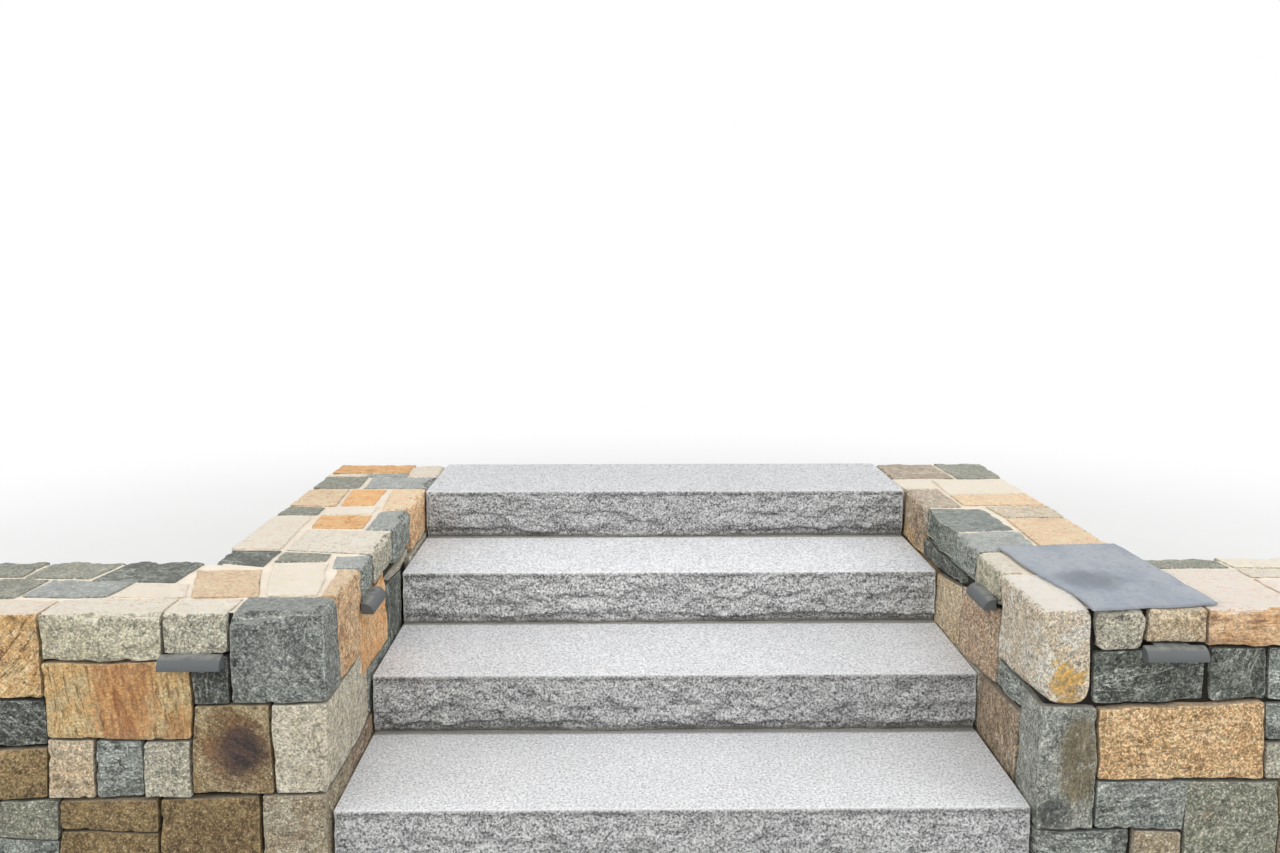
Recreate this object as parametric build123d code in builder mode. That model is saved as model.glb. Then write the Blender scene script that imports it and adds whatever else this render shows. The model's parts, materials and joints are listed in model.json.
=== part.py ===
# Outdoor stone steps: rock-faced granite slabs between two fieldstone cheek walls, which turn
# outwards at the bottom as battered wing walls. Each wall has a top course, each corner has
# quoins, and hooded lights are let into the walls at the foot of the top course.
# Millimetres, +Z up, +Y up the stairs. The origin is on the ground, under the middle of the
# bottom step's front arris.
import os
from math import cos, sin

from build123d import *

os.makedirs("parts", exist_ok=True)

# Flight of steps
step_count = 4
rise = 177.8
going = 457.0
slab_depth = 508.0
stair_width = 1829.0

# Rock face of a riser: a margin under the arris, a belly, and an undercut at the foot
riser_belly = 12.0
belly_height = 62.0
margin_height = 14.0
margin_out = 2.5
undercut_out = 5.0
pitch_bays = 12
pitch_swing = 0.4
drop_swing = 16.0
# Radians by which each wave turns from bay to bay and from step to step
pitch_turns = (2.1, 1.7)
drop_turns = (1.3, 0.9)

# Walls
wall_thickness = 460.0
wing_reach = 1185.0
wing_foot_out = 45.0
wing_batter = 70.0
top_course_height = 105.0
top_arris_radius = 20.0

# Quoins: the width along the wing, the y of the back and the height of each, from the foot up
quoin_arris_radius = 9.0
boulder_radius = 42.0
boulder_foot_radius = 38.0
left_quoins = (
    ("left_quoin_bottom", 180.0, 210.0, 237.0),
    ("left_quoin_middle", 142.0, 440.0, 234.0),
)
left_quoin_top_width = 248.0
left_quoin_top_back = 160.0
right_quoins = (
    ("right_quoin_bottom", 262.0, 120.0, 127.0),
    ("right_quoin_middle", 160.0, 147.0, 334.0),
)
right_boulder_width = 146.0
right_boulder_back = 330.0

# Bluestone cover sheet on the right corner: the places of its corners and of its wavy inner
# edge, out from the inner face and back from the wing's upper front edge
cover_thickness = 8.0
cover_front_inner = (136.0, -18.0)
cover_front_outer = (478.0, 32.0)
cover_back_outer = (462.0, 590.0)
cover_back_inner = (84.0, 552.0)
cover_inner_edge = ((104.0, 276.0), (128.0, 150.0))

# Hooded lights
hood_length = 158.0
hood_depth = 38.0
hood_height = 32.0
hood_ledge = 8.0
hood_wall = 2.0
plate_thickness = 2.5
plate_inset = 6.0
tongue_length = 60.0
tongue_thickness = 3.0
tongue_width = 90.0
lens_depth = 24.0
lens_height = 9.0
lens_drop = 12.0
# The place of each light's middle along its wall, and of its top above the top course's bed
left_wing_light_out = 340.0
right_wing_light_out = 345.0
left_cheek_light_y = 436.0
right_cheek_light_y = 405.0
left_wing_light_rise = 0.0
right_wing_light_rise = 12.0
left_cheek_light_rise = 12.0
right_cheek_light_rise = 27.0

# Values that follow from the driving sizes
total_height = step_count * rise
bed_height = total_height - top_course_height
inner_face = stair_width / 2
wing_end = inner_face + wing_reach
cheek_outer = inner_face + wall_thickness
back_y = (step_count - 1) * going + slab_depth


def front_at(height):
    """The y of the battered wing face at a height above the ground."""
    return -wing_foot_out + wing_batter * height / total_height


wing_back = front_at(total_height) + wall_thickness


def finish(part, name):
    """Labels a finished piece and writes its STEP file."""
    part.label = name
    export_step(part, f"parts/{name}.step")


def pitch_section(number, bay, foot, front):
    """Outline of a slab across the flight, with the rock face as it is at one bay line."""
    swell = 1 + pitch_swing * sin(pitch_turns[0] * bay + pitch_turns[1] * number)
    drop = drop_swing * cos(drop_turns[0] * bay + drop_turns[1] * number)
    head = foot + rise
    return (
        (front, head),
        (front - margin_out, head - margin_height),
        (front - riser_belly * swell, foot + belly_height + drop),
        (front - undercut_out * swell, foot),
        (front + slab_depth, foot),
        (front + slab_depth, head),
    )


def rock_faced_slab(number):
    """A granite step: a loft through the sections at the bay lines of its pitched face."""
    foot = number * rise
    front = number * going
    bay_width = stair_width / pitch_bays
    with BuildPart() as slab:
        for bay in range(pitch_bays + 1):
            with BuildSketch(Plane.YZ.offset(bay * bay_width - inner_face)):
                with BuildLine():
                    Polyline(*pitch_section(number, bay, foot, front), close=True)
                make_face()
        loft(ruled=True)
    return slab


def battered_block(x_start, x_end, y_back, z_low, z_high):
    """Masonry between two x values, with the wing wall's battered front and a plumb back."""
    with BuildPart() as block:
        with BuildSketch(Plane.YZ.offset(min(x_start, x_end))):
            with BuildLine():
                Polyline(
                    (front_at(z_low), z_low),
                    (y_back, z_low),
                    (y_back, z_high),
                    (front_at(z_high), z_high),
                    close=True,
                )
            make_face()
        extrude(amount=abs(x_end - x_start))
    return block.part


def plumb_block(x_start, x_end, y_start, y_end, z_low, z_high):
    """A squared block between two x, two y and two z values."""
    with BuildPart() as block:
        with BuildSketch(Plane.XY.offset(z_low)):
            with Locations(((x_start + x_end) / 2, (y_start + y_end) / 2)):
                Rectangle(abs(x_end - x_start), abs(y_end - y_start))
        extrude(amount=z_high - z_low)
    return block.part


def quoin_stack(rows, top_width, top_back):
    """Name, width, back, foot and head of each quoin of a corner, from the ground up."""
    foot = 0.0
    stack = []
    for name, width, back, height in rows:
        stack.append((name, width, back, foot, foot + height))
        foot += height
    stack.append(("top", top_width, top_back, foot, total_height))
    return stack


def quoin_block(side, quoin):
    """The squared block that a quoin is cut from, which is also its place in the wall."""
    _, width, back, foot, head = quoin
    return battered_block(side * inner_face, side * (inner_face + width), back, foot, head)


def dressed_quoin(side, quoin):
    """A quoin with its arrises worn round."""
    block = quoin_block(side, quoin)
    with BuildPart() as stone:
        add(block)
        front = stone.faces().sort_by(Axis.Y)[0]
        inner = stone.faces().sort_by(Axis.X)[0 if side > 0 else -1]
        fillet(front.edges() + inner.edges(), quoin_arris_radius)
    return stone


def boulder_quoin(side, quoin):
    """A rounded field boulder: wide curves at the foot and the sides, and a flatter top."""
    block = quoin_block(side, quoin)
    with BuildPart() as stone:
        add(block)
        uprights = stone.edges().filter_by(lambda edge: abs(edge.tangent_at(0.5).Z) > 0.9)
        fillet(uprights, boulder_radius)
        fillet(stone.faces().sort_by(Axis.Z)[0].edges(), boulder_foot_radius)
        fillet(stone.faces().sort_by(Axis.Z)[-1].edges(), quoin_arris_radius)
    return stone


def top_course(side):
    """The L-shaped top course of one side: wing and cheek in one, with its outer arrises worn."""
    wing = battered_block(side * inner_face, side * wing_end, wing_back, bed_height, total_height)
    cheek = plumb_block(
        side * inner_face, side * cheek_outer, wing_back, back_y, bed_height, total_height
    )
    with BuildPart() as course:
        add(wing)
        add(cheek)
        head = course.faces().sort_by(Axis.Z)[-1]
        ends = (side * wing_end, back_y)
        worn = [
            edge
            for edge in head.edges()
            if abs(edge.center().X - ends[0]) > 1 and abs(edge.center().Y - ends[1]) > 1
        ]
        fillet(worn, top_arris_radius)
    return course.part


# Steps
for number in range(step_count):
    slab = rock_faced_slab(number)
    finish(slab.part, f"step_{number + 1}")

# Bed courses: the rubble and mortar that carries each slab behind the one below
for number in range(1, step_count):
    with BuildPart() as bed_course:
        front = (number - 1) * going + slab_depth
        with BuildSketch(Plane.XY.offset((number - 1) * rise)):
            with Locations((0, (front + back_y) / 2)):
                Rectangle(stair_width, back_y - front)
        extrude(amount=rise)
    finish(bed_course.part, f"bed_course_{number}")


def wing_light_place(side, out, above):
    """The place of a light on a wing's face, with its y axis into the wall."""
    head = bed_height + above
    face = (side * (inner_face + out), front_at(head - hood_height), head)
    return Plane(origin=face, x_dir=(1, 0, 0), z_dir=(0, 0, 1))


def cheek_light_place(side, along, above):
    """The place of a light on a cheek's inner face, with its y axis into the wall."""
    face = (side * inner_face, along, bed_height + above)
    return Plane(origin=face, x_dir=(0, -side, 0), z_dir=(0, 0, 1))


def tongue_block(place):
    """The tongue of a light's bracket, which lies in a slot in the stone behind it."""
    with BuildPart() as tongue:
        with BuildSketch(place.offset(-tongue_thickness)):
            with Locations((0, tongue_length / 2)):
                Rectangle(tongue_width, tongue_length)
        extrude(amount=tongue_thickness)
    return tongue.part


def light_bracket(place):
    """Back plate against the wall and a tongue into the slot behind its head."""
    tongue = tongue_block(place)
    plate_length = hood_length - 2 * plate_inset
    with BuildPart() as bracket:
        add(tongue)
        with BuildSketch(place):
            with Locations((0, -plate_thickness / 2)):
                Rectangle(plate_length, plate_thickness)
        extrude(amount=-(hood_height - hood_wall))
    return bracket


def hood_outline(inset):
    """Half-round section of a hood, drawn out from the wall and down, inset all round."""
    depth = hood_depth - inset
    drop = hood_height
    with BuildLine() as line:
        Line((plate_thickness, drop), (plate_thickness, inset))
        Line((plate_thickness, inset), (hood_ledge, inset))
        EllipticalCenterArc(
            (hood_ledge, drop), depth - hood_ledge, drop - inset, start_angle=-90, arc_size=90
        )
        Line((depth, drop), (plate_thickness, drop))
    return line


def light_hood(place):
    """A bent half-round hood with closed ends, open below and at the back."""
    section = Plane(
        origin=place.origin - place.x_dir * (hood_length / 2),
        x_dir=-place.y_dir,
        z_dir=place.x_dir,
    )
    with BuildPart() as hood:
        with BuildSketch(section):
            with BuildLine():
                add(hood_outline(0).line)
            make_face()
        extrude(amount=hood_length)
        with BuildSketch(section.offset(hood_wall)):
            with BuildLine():
                add(hood_outline(hood_wall).line)
            make_face()
        extrude(amount=hood_length - 2 * hood_wall, mode=Mode.SUBTRACT)
    return hood


def light_lens(place):
    """The frosted bar under the hood, against the back plate."""
    lens_length = hood_length - 2 * hood_wall
    with BuildPart() as lens:
        with BuildSketch(place.offset(-lens_drop)):
            with Locations((0, -plate_thickness - lens_depth / 2)):
                Rectangle(lens_length, lens_depth)
        extrude(amount=-lens_height)
    return lens


def build_side(side, name, rows, top_width, top_back, wing_light, cheek_light):
    """Walls, top courses, quoins and lights of one side; side is -1 left or 1 right."""
    stack = quoin_stack(rows, top_width, top_back)
    pockets = [quoin_block(side, quoin) for quoin in stack]
    wing_place = wing_light_place(side, *wing_light)
    cheek_place = cheek_light_place(side, *cheek_light)
    slots = [tongue_block(wing_place), tongue_block(cheek_place)]

    # The wing wall turns the corner, so it holds the pockets of the quoins
    wing = battered_block(side * inner_face, side * wing_end, wing_back, 0, bed_height)
    cheek = plumb_block(side * inner_face, side * cheek_outer, wing_back, back_y, 0, bed_height)
    with BuildPart() as wing_wall:
        add(wing)
        for cut in pockets + slots:
            add(cut, mode=Mode.SUBTRACT)
    finish(wing_wall.part, f"{name}_wing_wall")
    with BuildPart() as cheek_wall:
        add(cheek)
        add(slots[1], mode=Mode.SUBTRACT)
    finish(cheek_wall.part, f"{name}_cheek_wall")

    course = top_course(side)
    joint = Plane(origin=(0, wing_back, 0), z_dir=(0, 1, 0))
    with BuildPart() as wing_top:
        add(course)
        split(bisect_by=joint, keep=Keep.BOTTOM)
        for cut in pockets + slots:
            add(cut, mode=Mode.SUBTRACT)
    finish(wing_top.part, f"{name}_wing_top_course")
    with BuildPart() as cheek_top:
        add(course)
        split(bisect_by=joint, keep=Keep.TOP)
        add(slots[1], mode=Mode.SUBTRACT)
    finish(cheek_top.part, f"{name}_cheek_top_course")

    for quoin in stack[:-1]:
        finish(dressed_quoin(side, quoin).part, quoin[0])
    if side < 0:
        finish(dressed_quoin(side, stack[-1]).part, f"{name}_quoin_top")
    else:
        finish(boulder_quoin(side, stack[-1]).part, f"{name}_quoin_top")

    for wall, place in (("wing", wing_place), ("cheek", cheek_place)):
        finish(light_bracket(place).part, f"{name}_{wall}_light_bracket")
        finish(light_hood(place).part, f"{name}_{wall}_light_hood")
        finish(light_lens(place).part, f"{name}_{wall}_light_lens")


build_side(
    -1, "left", left_quoins, left_quoin_top_width, left_quoin_top_back,
    (left_wing_light_out, left_wing_light_rise), (left_cheek_light_y, left_cheek_light_rise),
)
build_side(
    1, "right", right_quoins, right_boulder_width, right_boulder_back,
    (right_wing_light_out, right_wing_light_rise), (right_cheek_light_y, right_cheek_light_rise),
)

# Cover sheet: a thin cleft slab over the right corner, beside the boulder's top
cover_origin = Location((inner_face, front_at(total_height), total_height))
with BuildPart() as corner_cover:
    with BuildSketch(Plane(cover_origin)):
        with BuildLine():
            Polyline(cover_front_inner, cover_front_outer, cover_back_outer, cover_back_inner)
            Spline(cover_back_inner, *cover_inner_edge, cover_front_inner)
        make_face()
    extrude(amount=cover_thickness)
finish(corner_cover.part, "right_corner_cover")
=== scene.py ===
"""Looks of the outdoor stone steps: split fieldstone walls, granite slabs and hooded lights."""

from __future__ import annotations

import functools
import json
import logging
import math
import random
from dataclasses import dataclass, field, replace
from enum import Enum
from typing import Any, Callable, Sequence

import bpy
import numpy as np
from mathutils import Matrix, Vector

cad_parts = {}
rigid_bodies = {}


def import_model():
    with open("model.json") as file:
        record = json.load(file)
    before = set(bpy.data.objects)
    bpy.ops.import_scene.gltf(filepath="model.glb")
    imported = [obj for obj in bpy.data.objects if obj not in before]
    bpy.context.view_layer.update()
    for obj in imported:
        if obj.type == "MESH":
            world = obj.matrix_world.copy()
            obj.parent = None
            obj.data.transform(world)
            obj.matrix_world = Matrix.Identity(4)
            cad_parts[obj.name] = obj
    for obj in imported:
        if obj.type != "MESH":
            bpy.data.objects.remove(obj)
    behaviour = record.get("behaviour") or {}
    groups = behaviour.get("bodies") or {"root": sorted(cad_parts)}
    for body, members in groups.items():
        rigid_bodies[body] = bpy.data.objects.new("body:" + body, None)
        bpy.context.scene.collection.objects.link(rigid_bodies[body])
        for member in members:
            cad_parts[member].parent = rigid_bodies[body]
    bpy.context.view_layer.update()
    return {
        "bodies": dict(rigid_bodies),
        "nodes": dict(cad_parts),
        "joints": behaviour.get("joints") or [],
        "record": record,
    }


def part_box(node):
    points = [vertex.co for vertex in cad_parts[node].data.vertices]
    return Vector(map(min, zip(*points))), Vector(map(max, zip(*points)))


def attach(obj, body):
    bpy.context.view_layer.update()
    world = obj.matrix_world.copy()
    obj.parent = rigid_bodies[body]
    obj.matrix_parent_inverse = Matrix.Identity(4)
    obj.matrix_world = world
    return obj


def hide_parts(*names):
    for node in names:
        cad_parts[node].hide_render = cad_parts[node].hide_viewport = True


LOG = logging.getLogger("stone_steps")

Colour = tuple[float, float, float]
Point = tuple[float, float]
Faces = list[tuple[int, ...]]
Quad = np.ndarray

ROOT = "root"
RIGHT, BACK, UP = np.eye(3)
SHARP_ANGLE = math.radians(48)

# The cells of a stone's lattice in metres: in a face, where a face is filled, on top, on a side
# that the photo doesn't show, and inside a wall.
FACE_CELL = 0.005
FILL_CELL = 0.007
TOP_CELL = 0.007
PLAIN_CELL = 0.02
HIDDEN_CELL = 0.08


def rgb(red: int, green: int, blue: int) -> Colour:
    """Turns screen values from 0 to 255 into the linear colour that a shader takes.

    Args:
        red: Red as seen on a screen.
        green: Green as seen on a screen.
        blue: Blue as seen on a screen.

    Returns:
        The linear colour.
    """

    def linear(value: int) -> float:
        """Undoes the screen's curve for one channel."""
        share = value / 255
        return share / 12.92 if share <= 0.04045 else ((share + 0.055) / 1.055) ** 2.4

    return linear(red), linear(green), linear(blue)


class Wire:
    """A shader socket whose operators add Math nodes."""

    def __init__(self, graph: "Graph", socket: bpy.types.NodeSocket) -> None:
        """Wraps one output socket of a graph."""
        self.graph = graph
        self.socket = socket

    def _maths(self, operation: str, *values: "Value") -> "Wire":
        """Adds one Math node on these values."""
        return self.graph.node("ShaderNodeMath", {"operation": operation}, dict(enumerate(values)))

    def __add__(self, other: "Value") -> "Wire":
        """Sum."""
        return self._maths("ADD", self, other)

    def __radd__(self, other: "Value") -> "Wire":
        """Sum with the wire on the right."""
        return self._maths("ADD", other, self)

    def __sub__(self, other: "Value") -> "Wire":
        """Difference."""
        return self._maths("SUBTRACT", self, other)

    def __rsub__(self, other: "Value") -> "Wire":
        """Difference with the wire on the right."""
        return self._maths("SUBTRACT", other, self)

    def __mul__(self, other: "Value") -> "Wire":
        """Product."""
        return self._maths("MULTIPLY", self, other)

    def __rmul__(self, other: "Value") -> "Wire":
        """Product with the wire on the right."""
        return self._maths("MULTIPLY", other, self)

    def most(self, other: "Value") -> "Wire":
        """The greater of two values."""
        return self._maths("MAXIMUM", self, other)

    def above(self, low: float, high: float) -> "Wire":
        """Rises smoothly from 0 to 1 between two levels.

        Args:
            low: The level where it starts to rise.
            high: The level where it reaches 1.

        Returns:
            The smooth step of this wire.
        """
        settings = {"interpolation_type": "SMOOTHSTEP", "clamp": True}
        levels = {"Value": self, "From Min": low, "From Max": high}
        return self.graph.node("ShaderNodeMapRange", settings, levels)

    def below(self, low: float, high: float) -> "Wire":
        """Falls smoothly from 1 to 0 between two levels."""
        return 1 - self.above(low, high)

    def between(self, low: float, rise: float, fall: float, high: float) -> "Wire":
        """1 between the two middle levels, and 0 outside the outer two."""
        return self.above(low, rise) * self.below(fall, high)


Value = Wire | float | Sequence[float]


class Graph:
    """A node tree, with the few ways of adding to it that the finishes use."""

    def __init__(self, tree: bpy.types.NodeTree) -> None:
        """Wraps a node tree."""
        self.tree = tree

    def node(
        self,
        kind: str,
        settings: dict[str, Any] | None = None,
        inputs: dict[str | int, Value] | None = None,
        output: str | int = 0,
    ) -> Wire:
        """Adds a node of any type.

        Args:
            kind: The node's type.
            settings: Its options, which are set first.
            inputs: Values or wires for its sockets, by name or number.
            output: The socket that is handed back.

        Returns:
            The chosen output as a wire.
        """
        made = self.tree.nodes.new(kind)
        for name, value in (settings or {}).items():
            setattr(made, name, value)
        for name, value in (inputs or {}).items():
            self.feed(made.inputs[name], value)
        return Wire(self, made.outputs[output])

    def feed(self, socket: bpy.types.NodeSocket, value: Value) -> None:
        """Links a wire to a socket, or sets the socket's own value.

        Args:
            socket: The input socket.
            value: A wire, a number, a vector or a colour.
        """
        if isinstance(value, Wire):
            self.tree.links.new(value.socket, socket)
        elif hasattr(value, "__len__") and socket.type == "RGBA" and len(value) == 3:
            socket.default_value = (*value, 1)
        else:
            socket.default_value = value

    def mix(self, share: Value, first: Value, second: Value) -> Wire:
        """Mixes two colours: the first at a share of 0, the second at a share of 1."""
        inputs = {0: share, 6: first, 7: second}
        return self.node("ShaderNodeMix", {"data_type": "RGBA"}, inputs, 2)

    def layered(self, colour: Value, *layers: tuple[Value, Value]) -> Value:
        """Lays colours over a first one, each with the share of it that shows.

        Args:
            colour: The first colour.
            layers: A share and a colour each, from the lowest to the uppermost.

        Returns:
            The colour that they make.
        """
        for share, over in layers:
            colour = self.mix(share, colour, over)
        return colour

    def vector(self, operation: str, *values: Value, output: str | int = 0) -> Wire:
        """Adds one Vector Math node on these values."""
        settings = {"operation": operation}
        return self.node("ShaderNodeVectorMath", settings, dict(enumerate(values)), output)

    def scaled(self, colour: Value, factor: Value) -> Wire:
        """Multiplies a colour or a vector by a number."""
        return self.node("ShaderNodeVectorMath", {"operation": "SCALE"}, {0: colour, 3: factor})

    def part(self, vector: Wire, axis: str) -> Wire:
        """One component of a vector or colour."""
        return self.node("ShaderNodeSeparateXYZ", None, {0: vector}, axis)


@dataclass(frozen=True)
class Pattern:
    """Noise on a surface."""

    size: float  # The size of its patches, in metres
    detail: float  # How many finer layers it has
    rough: float  # How strong the finer layers are
    swirl: float = 0.0  # How far its patches are twisted
    # How much faster it changes along each axis than the size says
    stretch: tuple[float, float, float] = (1.0, 1.0, 1.0)


class Finish(Graph):
    """The node tree of one material, with patterns in metres."""

    LEAN = 0.7  # How much a normal points up or down at the ends of leaning's range

    def __init__(self, name: str) -> None:
        """Starts a material with its own Principled shader.

        Args:
            name: The material's name.
        """
        self.material = bpy.data.materials.new(name)
        self.material.use_nodes = True
        super().__init__(self.material.node_tree)
        self.shader = self.tree.nodes["Principled BSDF"]
        self.output = self.tree.nodes["Material Output"]

    def surface(self, **values: Value) -> bpy.types.Material:
        """Sets the Principled shader's sockets, with underscores for spaces.

        Args:
            values: A value or wire for each socket.

        Returns:
            The finished material.
        """
        for name, value in values.items():
            self.feed(self.shader.inputs[name.replace("_", " ")], value)
        return self.material

    def noise(self, where: Wire, pattern: Pattern) -> Wire:
        """Smooth noise from 0 to 1.

        Args:
            where: The place on the surface, in metres.
            pattern: The noise's size and character.

        Returns:
            The noise's value.
        """
        if pattern.stretch != (1.0, 1.0, 1.0):
            where = self.vector("MULTIPLY", where, pattern.stretch)
        inputs = {"Vector": where, "Scale": 1 / pattern.size, "Detail": pattern.detail}
        inputs |= {"Roughness": pattern.rough, "Distortion": pattern.swirl}
        return self.node("ShaderNodeTexNoise", None, inputs)

    def specks(self, where: Wire, spacing: float, radius: float) -> Wire:
        """Small round specks that lie far apart.

        Args:
            where: The place on the surface, in metres.
            spacing: How far apart they lie.
            radius: The radius of a speck.

        Returns:
            1 in a speck and 0 between them.
        """
        inputs = {"Vector": where, "Scale": 1 / spacing}
        near = self.node("ShaderNodeTexVoronoi", None, inputs, "Distance")
        return near.below(0.6 * radius / spacing, radius / spacing)

    def relief(self, height: Wire, depth: float, strength: float = 1.0) -> Wire:
        """A normal bumped by a height from 0 to 1, which stands for this depth in metres."""
        inputs = {"Height": height, "Distance": depth, "Strength": strength}
        return self.node("ShaderNodeBump", None, inputs)

    def place(self) -> Wire:
        """The place on the surface in metres, in the part's own frame."""
        return self.node("ShaderNodeTexCoord", None, None, "Object")

    def upward(self, low: float, high: float) -> Wire:
        """1 on what faces up, and 0 on what doesn't."""
        normal = self.node("ShaderNodeNewGeometry", None, None, "True Normal")
        return self.part(normal, "Z").above(low, high)

    def leaning(self, normal: Wire) -> Wire:
        """0 on what leans down, 0.5 on what stands upright and 1 on what leans up."""
        return self.part(normal, "Z").above(-self.LEAN, self.LEAN)

    def stored(self, name: str, output: str = "Vector") -> Wire:
        """A value stored on the mesh."""
        return self.node("ShaderNodeAttribute", {"attribute_name": name}, None, output)


@dataclass(frozen=True)
class Spot:
    """A patch of rust, lichen or another tone at one place."""

    place: tuple[float, float, float]  # Its middle in the part's frame, in metres
    radius: float  # Its radius across
    colour: Colour  # Its colour
    second: Colour  # A second colour inside it
    # How much faster it ends along each axis than the radius says
    stretch: tuple[float, float, float] = (1.0, 0.3, 1.0)
    ragged: float = 0.09  # How far its edge wanders, in metres
    share: float = 0.85  # How strongly it covers the stone


# The fieldstones' patterns. They lie in a stone's own grain, whose third axis crosses the bedding.
BLOTS = Pattern(0.024, 7, 0.75)
GRAINS = Pattern(0.0062, 4, 0.85)
CRUST = Pattern(0.013, 8, 0.8)
PATCHES = Pattern(0.11, 6, 0.68)
FURROWS = Pattern(0.045, 8, 0.78, 0.4, (1.0, 4.5, 1.0))
VEINS = Pattern(0.13, 6, 0.62, stretch=(0.6, 1.0, 1.6))
BEDS = Pattern(0.07, 7, 0.7, 0.8, (1.0, 1.0, 6.0))
RUST = Pattern(0.16, 6, 0.66, stretch=(1.0, 1.0, 3.0))
STREAKS = Pattern(0.07, 6, 0.7, stretch=(1.0, 1.0, 5.0))


@dataclass(frozen=True)
class FieldStone:
    """Split fieldstone: three tones, bedding, grain, stains and worn arrises."""

    name: str  # The material's name
    ground: Colour  # The main colour
    second: Colour  # A second tone in broad patches
    dark: Colour  # The tone of dark grains, patches and beds
    light: Colour = rgb(222, 217, 203)  # The tone of light beds, flecks and worn arrises
    stain: Colour = rgb(186, 118, 50)  # The colour of rust
    rust: float = 0.1  # How much of the stone the rust covers, from 0 to 1
    grain: float = 0.7  # How strongly single grains differ
    beds: float = 0.35  # How strongly the stone's bedding shows
    mottle: float = 0.75  # How strongly dark patches show
    arris: float = 0.2  # How pale the worn arrises are
    flecks: float = 0.6  # How strongly light flecks show
    pits: float = 0.7  # How strongly dark pits show
    veins: float = 0.0  # How strongly pale veins show
    bleach: float = 0.35  # How far a top is bleached
    top: Colour = rgb(242, 232, 216)  # The colour of a bleached top
    spots: tuple[Spot, ...] = ()  # Patches at their own places

    def material(self) -> bpy.types.Material:
        """Builds the finish.

        Returns:
            The material.
        """
        finish = Finish(self.name)
        where, rim = finish.stored("grain"), finish.stored("rim", "Fac")
        up = finish.upward(0.6, 0.9)
        blots, salt = finish.noise(where, BLOTS), finish.noise(where, GRAINS)
        crust, combed = finish.noise(where, CRUST), finish.noise(where, FURROWS)
        furrows = combed.above(0.5, 0.6).most(0.7 * blots.above(0.5, 0.62))
        top = finish.mix(furrows * 0.6, self.top, finish.scaled(self.top, 0.74))
        veins = []
        if self.veins:
            vein = finish.noise(where, VEINS).between(0.484, 0.498, 0.502, 0.516)
            veins.append((vein * blots.above(0.42, 0.6) * self.veins, self.light))
        worn = (rim + 0.012 * (blots - 0.5)).below(0.0, 0.006)
        seam = (rim + 0.008 * (blots - 0.5)).below(0.001, 0.004) * up
        colour = finish.layered(
            self._body(finish, where, blots),
            (salt.above(0.55, 0.61) * self.flecks, self.light),
            (salt.below(0.39, 0.45) * self.pits, self.dark),
            *[self._patch(finish, where, spot, blots) for spot in self.spots],
            (up * self.bleach, top),
            *veins,
            (worn * self.arris, self.light),
            (seam * 0.4, self.dark),
        )
        height = crust * 0.9 + salt * 0.25 + blots * 0.5 + 0.5 * up * combed
        normal = finish.relief(height, 0.016)
        return finish.surface(
            Base_Color=finish.scaled(colour, self._tone(finish, salt, crust, up, normal)),
            Roughness=0.76 + 0.18 * blots,
            Normal=normal,
        )

    def _body(self, finish: Finish, where: Wire, blots: Wire) -> Wire:
        """Mixes patches, beds, dark mottling and rust.

        Args:
            finish: The stone's node tree.
            where: The place in the stone's grain.
            blots: The noise of the mottling.

        Returns:
            The colour.
        """
        patches, beds = finish.noise(where, PATCHES), finish.noise(where, BEDS)
        level = 0.66 - 0.26 * self.rust
        rust = finish.noise(where, RUST).above(level, level + 0.09)
        return finish.layered(
            self.ground,
            (patches.above(0.44, 0.56), self.second),
            (beds.above(0.52, 0.62) * self.beds, self.dark),
            (beds.below(0.36, 0.46) * (self.beds * 0.8), self.light),
            (blots.above(0.53, 0.62) * self.mottle, self.dark),
            (blots.below(0.37, 0.45) * (self.mottle * 0.5), self.light),
            (rust * min(1.0, 0.3 + 0.9 * self.rust), self.stain),
        )

    def _tone(self, finish: Finish, salt: Wire, crust: Wire, up: Wire, normal: Wire) -> Wire:
        """How bright each spot is: its grains, its stone, and painted light and shade by how its
        relief leans.

        Args:
            finish: The stone's node tree.
            salt: The noise of its grains.
            crust: The noise of its split surface.
            up: 1 on a top.
            normal: The bumped normal.

        Returns:
            The factor on the colour.
        """
        speckle = 0.6 * salt.above(0.4, 0.6) + 0.8 * crust.above(0.4, 0.6) - 0.7
        speckle = 1 + self.grain * speckle * (1 - 0.6 * up)
        draw = 1.09 + 0.2 * finish.part(finish.stored("stone"), "Z")
        # Painted light and shade: what leans up is painted lighter and what leans down darker, tops
        # are held back, and faces turned to the sides are painted lighter.
        aside = finish.part(normal, "X")
        painted_shading = 0.6 + 0.7 * finish.leaning(normal) - 0.27 * up + 0.36 * aside * aside
        return speckle * (draw * painted_shading)

    @staticmethod
    def _patch(finish: Finish, where: Wire, spot: Spot, blots: Wire) -> tuple[Wire, Wire]:
        """The patch at one place.

        Args:
            finish: The stone's node tree.
            where: The place in the stone's grain.
            spot: The patch.
            blots: The noise that roughens its edge.

        Returns:
            How much of the patch shows, and its colour.
        """
        off = finish.vector("SUBTRACT", finish.place(), spot.place)
        away = finish.vector("LENGTH", finish.vector("MULTIPLY", off, spot.stretch), output="Value")
        streaks = finish.noise(where, STREAKS)
        away = away + spot.ragged * (blots + streaks - 1)
        cover = away.below(0.6 * spot.radius, 1.15 * spot.radius) * spot.share
        return cover, finish.mix(streaks.above(0.42, 0.58), spot.colour, spot.second)


# The granite's patterns, in the part's frame.
CLOUDS = Pattern(0.17, 6, 0.65)
CRYSTALS = Pattern(0.010, 7, 0.8)
MICA = Pattern(0.0068, 3, 0.8)
FLAKE_EDGES = Pattern(0.07, 5, 0.62, stretch=(0.5, 1.0, 1.5))


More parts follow.
